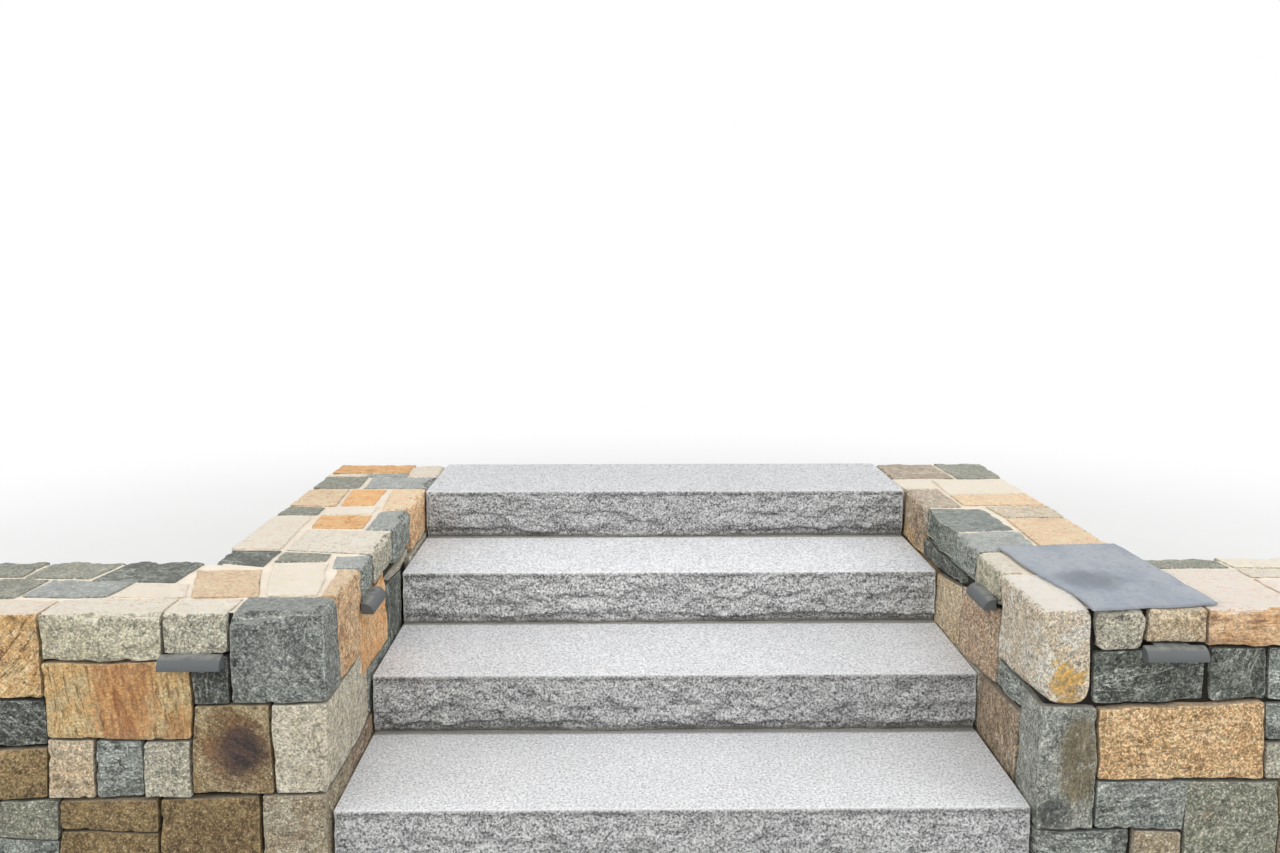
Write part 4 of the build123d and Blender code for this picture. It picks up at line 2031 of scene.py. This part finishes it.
        hollow = struck + 0.25 * (self.belly - proud) * under
        return spots, np.clip(hollow / self.full_hollow, 0, 1)


@dataclass
class Bedding:
    """The masonry behind the slabs, whose rear face closes the flight."""

    sizes: Sizes  # The part's sizes
    seed: int = 31  # The seed of its random numbers
    rake: float = 0.026  # How far the joints are raked back
    joint: float = 0.006  # The width of a joint
    inset: float = 0.004  # How far the stones lie behind the rear face
    depth: float = 0.11  # How far in the stones run

    def build(self) -> None:
        """Lays stones on the rear face of the bed courses."""
        sizes = self.sizes
        dice = random.Random(self.seed)
        frame = Frame((0.0, sizes.back, 0.0), RIGHT, -BACK)
        nodes = [f"bed_course_{number}" for number in (1, 2, 3)]
        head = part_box(nodes[-1])[1].z
        piece = Masonry("bedding_rear_stones", self.limit, sizes.head, dice)
        face = np.array(upright(-sizes.inner, sizes.inner, 0.0, head))
        for quad in divided(face, *REAR_STONE, dice):
            corners = corners_in_face(shrunk(quad, self.joint), self.inset, self.depth)
            stone = Stone(corners, dice.choice(FACE_MIX), FRONT_ONLY, SPLIT, PLAIN_CELL)
            piece.lay(stone, frame)
        piece.build("rubble_bed", nodes)
        for node in nodes:
            self._core(node, frame, dice)

    def _core(self, node: str, frame: Frame, dice: random.Random) -> None:
        """Fills one bed course's own place behind the rear stones.

        Args:
            node: The bed course.
            frame: The rear face.
            dice: The source of random numbers.
        """
        low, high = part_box(node)
        face = np.array(upright(low.x, high.x, low.z, high.z))
        corners = corners_in_face(face, self.rake, high.y - low.y)
        stone = Stone(corners, Kind.GREY, FRONT_ONLY, PLAIN, HIDDEN_CELL)
        points, faces, _, _ = stone.mesh(frame, dice)
        settle(f"{node}_core", [], (self.limit(points), faces), [MORTAR])

    def limit(self, points: np.ndarray) -> np.ndarray:
        """Keeps points between the cheeks, off the rear and off the ground."""
        inner, back = self.sizes.inner, self.sizes.back
        return np.clip(points, (-inner, -math.inf, 0.0), (inner, back, math.inf))


@dataclass
class CornerCover:
    """The thin cleft sheet on the right corner, with wavy edges."""

    sizes: Sizes  # The part's sizes
    # The inner edge's places, out from the inner face and back from the front
    inner: Sequence[Point] = ((0.136, -0.018), (0.126, 0.150), (0.104, 0.276), (0.086, 0.552))
    # The outer edge's places, in the same order
    outer: Sequence[Point] = ((0.478, 0.032), (0.470, 0.210), (0.468, 0.400), (0.462, 0.588))
    wave: float = 0.0045  # How far the edges wander
    wave_size: float = 0.07  # The length of an edge's waves
    cleft: float = 0.0011  # How high the cleft face's waves are
    cleft_size: float = 0.14  # How long they are
    sunk: float = 0.0013  # How far the face lies under the node's own
    across: int = 60  # How many cells it has across
    along: int = 90  # How many cells it has from front to back

    def build(self) -> None:
        """Builds the sheet."""
        low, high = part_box("right_corner_cover")
        share = np.linspace(0, 1, self.along + 1)
        inner, outer = self._edge(self.inner, share), self._edge(self.outer, share)
        width = np.linspace(0, 1, self.across + 1)[:, None, None]
        plan = (inner[None] * (1 - width) + outer[None] * width).reshape(-1, 2)
        plan += np.array([self.sizes.inner, self.sizes.head_front])
        here = np.column_stack([plan, np.zeros(len(plan))])
        wander = np.stack([warp.layered(here, self.wave_size, 3) for warp in WARPS[:2]], axis=1)
        flat = np.clip(plan + self.wave * wander, (low.x, low.y), (high.x, high.y))
        lift = self.cleft * ROUGH.layered(here, self.cleft_size, 5)
        top = np.column_stack([flat, high.z - self.sunk + np.minimum(lift, self.sunk)])
        base = np.column_stack([flat, np.full(len(flat), low.z)])
        number = np.arange(len(flat)).reshape(self.across + 1, self.along + 1)
        faces, rim, under = cells_of(number), rim_of(number), len(flat)
        for start, end in zip(rim, rim[1:] + rim[:1]):
            faces.append((start, start + under, end + under, end))
        faces.append(tuple(corner + under for corner in rim[::-1]))
        shape = (np.concatenate([top, base]), faces)
        settle("corner_cover_sheet", ["right_corner_cover"], shape, [BLUESTONE])

    @staticmethod
    def _edge(places: Sequence[Point], share: np.ndarray) -> np.ndarray:
        """Runs a smooth line through an edge's places."""
        fits = [np.polyfit(np.linspace(0, 1, len(places)), axis, 3) for axis in zip(*places)]
        return np.stack([np.polyval(fit, share) for fit in fits], axis=1)


@dataclass
class WallLight:
    """A hooded light: its hood, bracket and lens keep their nodes and get their finishes."""

    place: str  # Where it hangs, as in its nodes' names
    nodes: dict[str, bpy.types.Object]  # The part's CAD objects by name

    def build(self) -> None:
        """Gives each node its finish and softens the hood's edges."""
        for part, finish in (("hood", BRONZE), ("bracket", BRONZE), ("lens", LENS)):
            node = self.nodes[f"{self.place}_light_{part}"]
            node.data.materials.clear()
            node.data.materials.append(material_of(finish))
            if part == "hood":
                edge = node.modifiers.new("edge", "BEVEL")
                edge.width = 0.0006
                edge.segments = 2
                edge.limit_method = "ANGLE"
        LOG.info("%s light dressed", self.place)


RAYS = "ShaderNodeLightPath"


@dataclass
class Studio:
    """The camera at the photo's place, soft light and a pale floor."""

    eye: tuple[float, float, float] = (-0.144, -2.530, 1.626)  # Where the camera stands
    down: float = 9.678  # How far it looks down, in degrees
    turn: float = 0.685  # How far it turns right, in degrees
    lens: float = 29.385  # Its focal length for a 36 mm sensor
    sky: float = 0.76  # The strength of the sky
    key: float = 74.0  # The power of the lamp over the stairs
    fill: float = 135.0  # The power of each of the two lamps in front
    near: float = 2.6  # The radius within which the floor is plain
    far: float = 7.0  # The radius past which it shows white

    def build(self) -> None:
        """Builds the stage."""
        self._camera()
        self._lamp("key", (0.3, -0.9, 4.6), (0.0, 0.6, 0.2), (5.6, 2.0), self.key)
        for hand in (-1, 1):
            place = (5.5 * hand, -1.9, 3.0)
            self._lamp(f"fill{hand}", place, (0.0, 0.4, 0.4), (4.0, 3.0), self.fill)
        self._world()
        self._floor()
        bpy.context.scene.view_settings.view_transform = "Standard"

    def _camera(self) -> None:
        """Sets the camera."""
        data = bpy.data.cameras.new("camera")
        data.lens = self.lens
        data.sensor_width = 36.0
        data.clip_end = 80.0
        camera = linked("camera", data)
        camera.location = self.eye
        camera.rotation_euler = (math.radians(90 - self.down), 0.0, -math.radians(self.turn))
        bpy.context.scene.camera = camera

    def _lamp(
        self, name: str, place: Sequence[float], aim: Sequence[float], size: Point, power: float
    ) -> None:
        """Adds a wide area lamp that points at a place.

        Args:
            name: Its name.
            place: Where it hangs.
            aim: Where it points.
            size: Its width and height.
            power: Its power in watts.
        """
        data = bpy.data.lights.new(name, "AREA")
        data.energy = power
        data.shape = "RECTANGLE"
        data.size, data.size_y = size
        lamp = linked(name, data)
        lamp.location = place
        lamp.rotation_euler = (Vector(aim) - Vector(place)).to_track_quat("-Z", "Y").to_euler()

    @staticmethod
    def _seen(graph: Graph) -> Wire:
        """1 for camera, glossy and transmission rays."""
        kinds = [f"Is {ray} Ray" for ray in ("Camera", "Glossy", "Transmission")]
        return functools.reduce(Wire.most, [graph.node(RAYS, None, None, kind) for kind in kinds])

    def _world(self) -> None:
        """A soft grey sky that is white where the camera sees it."""
        world = bpy.data.worlds.new("studio")
        world.use_nodes = True
        graph = Graph(world.node_tree)
        white = (1.0, 1.0, 1.0)
        sky = graph.node("ShaderNodeBackground", None, {"Color": white, "Strength": self.sky})
        backdrop = graph.node("ShaderNodeBackground", None, {"Color": white, "Strength": 1.0})
        mixed = graph.node("ShaderNodeMixShader", None, {0: self._seen(graph), 1: sky, 2: backdrop})
        graph.feed(world.node_tree.nodes["World Output"].inputs["Surface"], mixed)
        bpy.context.scene.world = world

    def _floor(self) -> None:
        """A wide pale floor that shows white far from the object."""
        half = 40.0
        mesh = bpy.data.meshes.new("floor")
        corners = [(-half, -half, 0.0), (half, -half, 0.0), (half, half, 0.0), (-half, half, 0.0)]
        mesh.from_pydata(corners, [], [(0, 1, 2, 3)])
        finish = Finish("floor")
        where = finish.place()
        grain = finish.noise(where, Pattern(0.6, 3, 0.5))
        pale = finish.mix(grain, (0.76, 0.76, 0.75), (0.82, 0.82, 0.81))
        finish.surface(Base_Color=pale, Roughness=0.9)
        away = finish.vector("LENGTH", where, output="Value").above(self.near, self.far)
        white = finish.node("ShaderNodeEmission", None, {"Color": (1.0, 1.0, 1.0), "Strength": 1.0})
        plain = Wire(finish, finish.shader.outputs[0])
        share = away * self._seen(finish)
        mixed = finish.node("ShaderNodeMixShader", None, {0: share, 1: plain, 2: white})
        finish.feed(finish.output.inputs["Surface"], mixed)
        mesh.materials.append(finish.material)
        linked("floor", mesh)


def left_side(sizes: Sizes) -> WallSide:
    """The left side, with the stones where the photo shows them.

    Args:
        sizes: The part's sizes.

    Returns:
        The side.
    """
    bed, head, front, back = sizes.bed, sizes.head, sizes.head_front, sizes.back
    end, width, wing_back = sizes.reach, sizes.width, sizes.wing_back
    wing_face = (
        Laid(((0.252, 0.470), (0.346, 0.470), (0.348, 0.603), (0.250, 0.603)), Kind.BLACK, 88),
        Laid(((0.350, 0.381), (0.726, 0.385), (0.730, 0.586), (0.350, 0.590)), Kind.STREAKED, 86),
        Laid(
            ((0.144, 0.236), (0.350, 0.240), (0.346, 0.468), (0.144, 0.470)), Kind.UMBER_HEART, 20
        ),
        Laid(
            ((0.726, 0.357), (0.905, 0.360), (0.900, 0.484), (0.728, 0.484)),
            Kind.BLACK, 30, ROCK_FACED,
        ),
        Laid(upright(0.352, 0.476, 0.228, 0.380), Kind.GREY_TAN),
        Laid(upright(0.476, 0.602, 0.224, 0.382), Kind.BLUE_GREY, dressing=ROCK_FACED),
        Laid(upright(0.602, 0.726, 0.226, 0.383), Kind.TAN),
        Laid(((0.182, 0.0), (0.445, 0.0), (0.440, 0.226), (0.182, 0.234)), Kind.UMBER, 60),
    )
    cheek_face = (
        Laid(((0.358, 0.382), (0.690, 0.385), (0.694, 0.606), (0.356, 0.603)), Kind.ORANGE, 80),
        Laid(((0.700, 0.345), (0.925, 0.345), (0.925, 0.548), (0.700, 0.560)), Kind.DARK, 85),
        Laid(((0.700, 0.562), (0.925, 0.550), (1.040, 0.556), (1.040, 0.585)), Kind.BEIGE),
        Laid(upright(0.444, 0.700, 0.237, 0.380), Kind.BLUE_GREY),
        Laid(upright(0.214, 0.462, 0.0, 0.234), Kind.BROWN),
        Laid(upright(1.060, 1.400, 0.400, 0.545), Kind.GREY_TAN),
    )
    cover = (
        Laid(upright(0.729, 0.985, front, 0.145), Kind.RUST, -48, foot=0.487),
        Laid(upright(0.421, 0.729, front, 0.150), Kind.PALE_GREEN, 8, foot=0.588),
        Laid(upright(0.249, 0.421, front, 0.150), Kind.GREY_TAN, foot=0.606),
        Laid(((0.865, 0.150), (1.015, 0.150), (1.005, 0.330), (0.850, 0.320)), Kind.GREY),
        Laid(((0.625, 0.158), (0.862, 0.165), (0.845, 0.315), (0.600, 0.298)), Kind.BLUE_GREY),
        Laid(((0.405, 0.152), (0.622, 0.155), (0.596, 0.280), (0.448, 0.275)), Kind.CREAM),
        Laid(((0.945, 0.338), (1.090, 0.335), (1.090, wing_back), (0.938, wing_back)), Kind.GREY),
        Laid(((0.742, 0.318), (0.940, 0.328), (0.932, wing_back), (0.712, wing_back)), Kind.GREY),
        Laid(((0.492, 0.285), (0.735, 0.300), (0.706, wing_back), (0.478, wing_back)), Kind.DARK),
        Laid(((0.212, 0.162), (0.400, 0.152), (0.484, 0.404), (0.290, 0.405)), Kind.SANDY),
        Laid(((0.060, 0.165), (0.206, 0.165), (0.284, 0.465), (0.108, 0.465)), Kind.CREAM),
        Laid(
            ((0.0, 0.160), (0.056, 0.160), (0.078, 0.398), (0.0, 0.398)), Kind.SANDY, 85, foot=0.472
        ),
        Laid(((0.0, 0.402), (0.090, 0.402), (0.116, 0.538), (0.0, 0.538)), Kind.BLUE_GREY),
        Laid(((0.122, 0.474), (0.290, 0.472), (0.286, 0.585), (0.128, 0.558)), Kind.GREY),
        Laid(
            ((0.296, 0.425), (width, 0.480), (width, 0.600), (0.292, 0.600)),
            Kind.DARK, dressing=EDGE_STONE,
        ),
        Laid(((0.0, 0.544), (0.290, 0.598), (0.290, 0.838), (0.0, 0.815)), Kind.GREY_TAN),
        Laid(((0.300, 0.608), (width, 0.608), (width, 1.028), (0.318, 1.020)), Kind.CREAM),
        Laid(
            ((0.0, 0.820), (0.105, 0.830), (0.108, 1.090), (0.0, 1.090)),
            Kind.BLUE_GREY, 70, foot=0.590,
        ),
        Laid(((0.112, 0.846), (0.288, 0.848), (0.304, 1.028), (0.116, 1.028)), Kind.ORANGE),
        Laid(((0.120, 1.036), (0.306, 1.036), (0.308, 1.152), (0.124, 1.158)), Kind.CREAM),
        Laid(
            ((0.312, 1.036), (width, 1.036), (width, 1.152), (0.314, 1.150)),
            Kind.GREY, dressing=EDGE_STONE,
        ),
        Laid(
            ((0.0, 1.096), (0.112, 1.100), (0.140, 1.428), (0.0, 1.428)), Kind.SANDY, 75, foot=0.548
        ),
        Laid(((0.148, 1.166), (0.278, 1.168), (0.290, 1.428), (0.152, 1.428)), Kind.ORANGE),
        Laid(((0.284, 1.160), (width, 1.160), (width, 1.432), (0.296, 1.432)), Kind.SANDY),
        Laid(((0.0, 1.436), (0.256, 1.438), (0.264, 1.634), (0.0, 1.634)), Kind.BLUE_GREY),
        Laid(((0.270, 1.442), (width, 1.442), (width, 1.648), (0.276, 1.648)), Kind.GREY),
        Laid(upright(0.130, 0.302, 1.642, 1.708), Kind.BLUE_GREY),
        Laid(upright(0.308, width, 1.656, 1.708), Kind.CREAM),
        Laid(upright(0.0, 0.126, 1.640, back), Kind.CREAM),
        Laid(upright(0.132, width, 1.714, back), Kind.ORANGE),
    )
    pitched = replace(QUOIN, pitch=0.021, corner=0.010)
    quoins = (
        Quoin("left_quoin_bottom", "brown_quoin", 0.180, 0.210, 0.0, 0.237, Kind.GREY_BROWN),
        Quoin(
            "left_quoin_middle", "beige_quoin", 0.142, 0.440, 0.237, 0.471, Kind.BEIGE, QUOIN, 75
        ),
        Quoin(
            "left_quoin_top", "blue_grey_quoin", 0.248, 0.160, 0.471, head,
            Kind.BLUE_QUOIN, pitched, 40,
        ),
    )
    return WallSide(
        "left", -1, sizes, wing_face, cheek_face, cover,
        wing_gaps=(
            upright(0.445, end, 0.0, 0.224), upright(0.726, end, 0.224, 0.357),
            upright(0.905, 0.985, 0.357, 0.484), upright(0.985, end, 0.357, bed),
        ),
        cheek_gaps=(
            upright(0.462, back, 0.0, 0.234), upright(0.700, back, 0.237, 0.342),
            upright(1.060, back, 0.345, 0.396), upright(1.400, back, 0.400, bed),
        ),
        top_gaps=(
            upright(0.985, end, front, 0.148), upright(1.018, end, 0.152, 0.330),
            upright(1.094, end, 0.336, wing_back),
        ),
        quoins=quoins,
        seed=3,
    )


def right_side(sizes: Sizes) -> WallSide:
    """The right side, with the stones where the photo shows them.

    Args:
        sizes: The part's sizes.

    Returns:
        The side.
    """
    bed, head, front, back = sizes.bed, sizes.head, sizes.head_front, sizes.back
    end, width, wing_back = sizes.reach, sizes.width, sizes.wing_back
    wing_face = (
        Laid(
            ((0.148, 0.462), (0.446, 0.462), (0.452, 0.600), (0.148, 0.596)),
            Kind.DARK, 12, ROCK_FACED,
        ),
        Laid(upright(0.452, 0.604, 0.462, 0.603), Kind.DARK, 60, ROCK_FACED),
        Laid(upright(0.604, 0.790, 0.458, 0.603), Kind.BLUE_GREY, dressing=ROCK_FACED),
        Laid(
            ((0.162, 0.262), (0.600, 0.264), (0.598, 0.462), (0.164, 0.456)),
            Kind.GOLDEN, dressing=SMOOTH,
        ),
        Laid(upright(0.602, 0.730, 0.262, 0.356), Kind.GREY_TAN),
        Laid(upright(0.602, 0.760, 0.358, 0.456), Kind.BLUE_GREY, dressing=ROCK_FACED),
        Laid(((0.162, 0.129), (0.390, 0.127), (0.402, 0.260), (0.162, 0.260)), Kind.BLUE_GREY, 10),
        Laid(upright(0.392, 0.642, 0.040, 0.258), Kind.GREY, 30),
        Laid(((0.264, 0.0), (0.386, 0.0), (0.388, 0.125), (0.264, 0.125)), Kind.GREY_BROWN),
        Laid(upright(0.390, 0.642, 0.0, 0.038), Kind.BLUE_GREY),
    )
    cheek_face = (
        Laid(((0.333, 0.376), (0.660, 0.346), (0.664, 0.560), (0.333, 0.603)), Kind.SPECKLED),
        Laid(((0.666, 0.346), (0.930, 0.340), (0.930, 0.528), (0.666, 0.556)), Kind.TAN, 60),
        Laid(((0.664, 0.562), (1.100, 0.532), (1.100, 0.603), (0.664, 0.603)), Kind.BLACK, 5),
        Laid(
            ((0.150, 0.382), (0.330, 0.380), (0.330, 0.458), (0.150, 0.461)),
            Kind.BLUE_GREY, dressing=ROCK_FACED,
        ),
        Laid(((0.150, 0.155), (0.462, 0.155), (0.462, 0.362), (0.150, 0.377)), Kind.BROWN, 70),
        Laid(upright(0.124, 0.462, 0.0, 0.152), Kind.GREY),
    )
    knobbed = replace(EDGE_STONE, corner=0.03)
    cover = (
        Laid(upright(0.148, 0.275, front, 0.170), Kind.GREY_TAN, dressing=knobbed, foot=0.596),
        Laid(upright(0.275, 0.438, front, 0.180), Kind.TAN, 40, foot=0.615),
        Laid(upright(0.438, 0.704, front, 0.375), Kind.PINK, 4, foot=0.605),
        Laid(upright(0.704, 0.930, front, 0.290), Kind.PINK),
        Laid(((0.445, 0.380), (0.700, 0.384), (0.690, wing_back), (0.445, wing_back)), Kind.GREY),
        Laid(
            ((0.706, 0.384), (0.930, 0.378), (0.930, wing_back), (0.696, wing_back)),
            Kind.PALE_GREEN,
        ),
        Laid(((0.0, 0.334), (0.080, 0.334), (0.070, 0.545), (0.0, 0.545)), Kind.PALE_GREEN),
        Laid(upright(0.150, 0.438, 0.184, 0.560), Kind.GREY),
        Laid(
            ((0.0, 0.550), (0.216, 0.560), (0.232, 0.790), (0.0, 0.775)),
            Kind.BLUE_GREY, 10, foot=0.606,
        ),
        Laid(((0.222, 0.566), (width, 0.566), (width, 0.958), (0.240, 0.950)), Kind.SANDY),
        Laid(
            ((0.0, 0.780), (0.235, 0.796), (0.220, 1.110), (0.0, 1.110)), Kind.LEDGE, 5, ROCK_FACED
        ),
        Laid(((0.244, 0.958), (width, 0.964), (width, 1.135), (0.226, 1.125)), Kind.TAN),
        Laid(
            ((0.0, 1.114), (0.146, 1.114), (0.150, 1.400), (0.0, 1.400)), Kind.BROWN, 80, foot=0.540
        ),
        Laid(((0.152, 1.132), (width, 1.142), (width, 1.312), (0.156, 1.306)), Kind.SANDY),
        Laid(upright(0.0, 0.152, 1.404, 1.582), Kind.CREAM),
        Laid(((0.158, 1.312), (width, 1.318), (width, 1.578), (0.158, 1.560)), Kind.CREAM),
        Laid(((0.0, 1.588), (0.262, 1.588), (0.254, back), (0.0, back)), Kind.BROWN),
        Laid(((0.268, 1.584), (width, 1.584), (width, back), (0.260, back)), Kind.GREY),
    )
    struck = replace(ROCK_FACED, arris=0.009)
    quoins = (
        Quoin(
            "right_quoin_bottom", "blue_grey_quoin", 0.262, 0.120, 0.0, 0.127,
            Kind.BLUE_GREY, struck,
        ),
        Quoin(
            "right_quoin_middle", "olive_grey_quoin", 0.160, 0.147, 0.127, 0.461,
            Kind.OLIVE_QUOIN, QUOIN, 86,
        ),
        Quoin(
            "right_quoin_top", "field_boulder", 0.146, 0.330, 0.461, head, Kind.BOULDER, ROUND, 30
        ),
    )
    return WallSide(
        "right", 1, sizes, wing_face, cheek_face, cover,
        wing_gaps=(
            upright(0.642, end, 0.0, 0.259), upright(0.760, end, 0.262, 0.456),
            upright(0.790, end, 0.458, bed),
        ),
        cheek_gaps=(
            ((0.462, 0.0), (back, 0.0), (back, 0.340), (0.462, 0.358)),
            upright(0.935, back, 0.345, 0.526),
            upright(1.104, back, 0.530, bed),
        ),
        top_gaps=(
            upright(0.930, end, front, 0.180), upright(0.704, end, 0.296, 0.378),
            upright(0.934, end, 0.184, 0.292), upright(0.934, end, 0.382, wing_back),
        ),
        quoins=quoins,
        seed=4,
    )


def main() -> None:
    """Builds the stage and every sub-assembly in order."""
    logging.basicConfig(level=logging.INFO, format="%(name)s %(message)s")
    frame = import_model()
    sizes = Sizes.read()
    Studio().build()
    Flight().build()
    left_side(sizes).build()
    right_side(sizes).build()
    Bedding(sizes).build()
    CornerCover(sizes).build()
    for place in ("left_wing", "left_cheek", "right_cheek", "right_wing"):
        WallLight(place, frame["nodes"]).build()


if __name__ == "__main__":
    main()
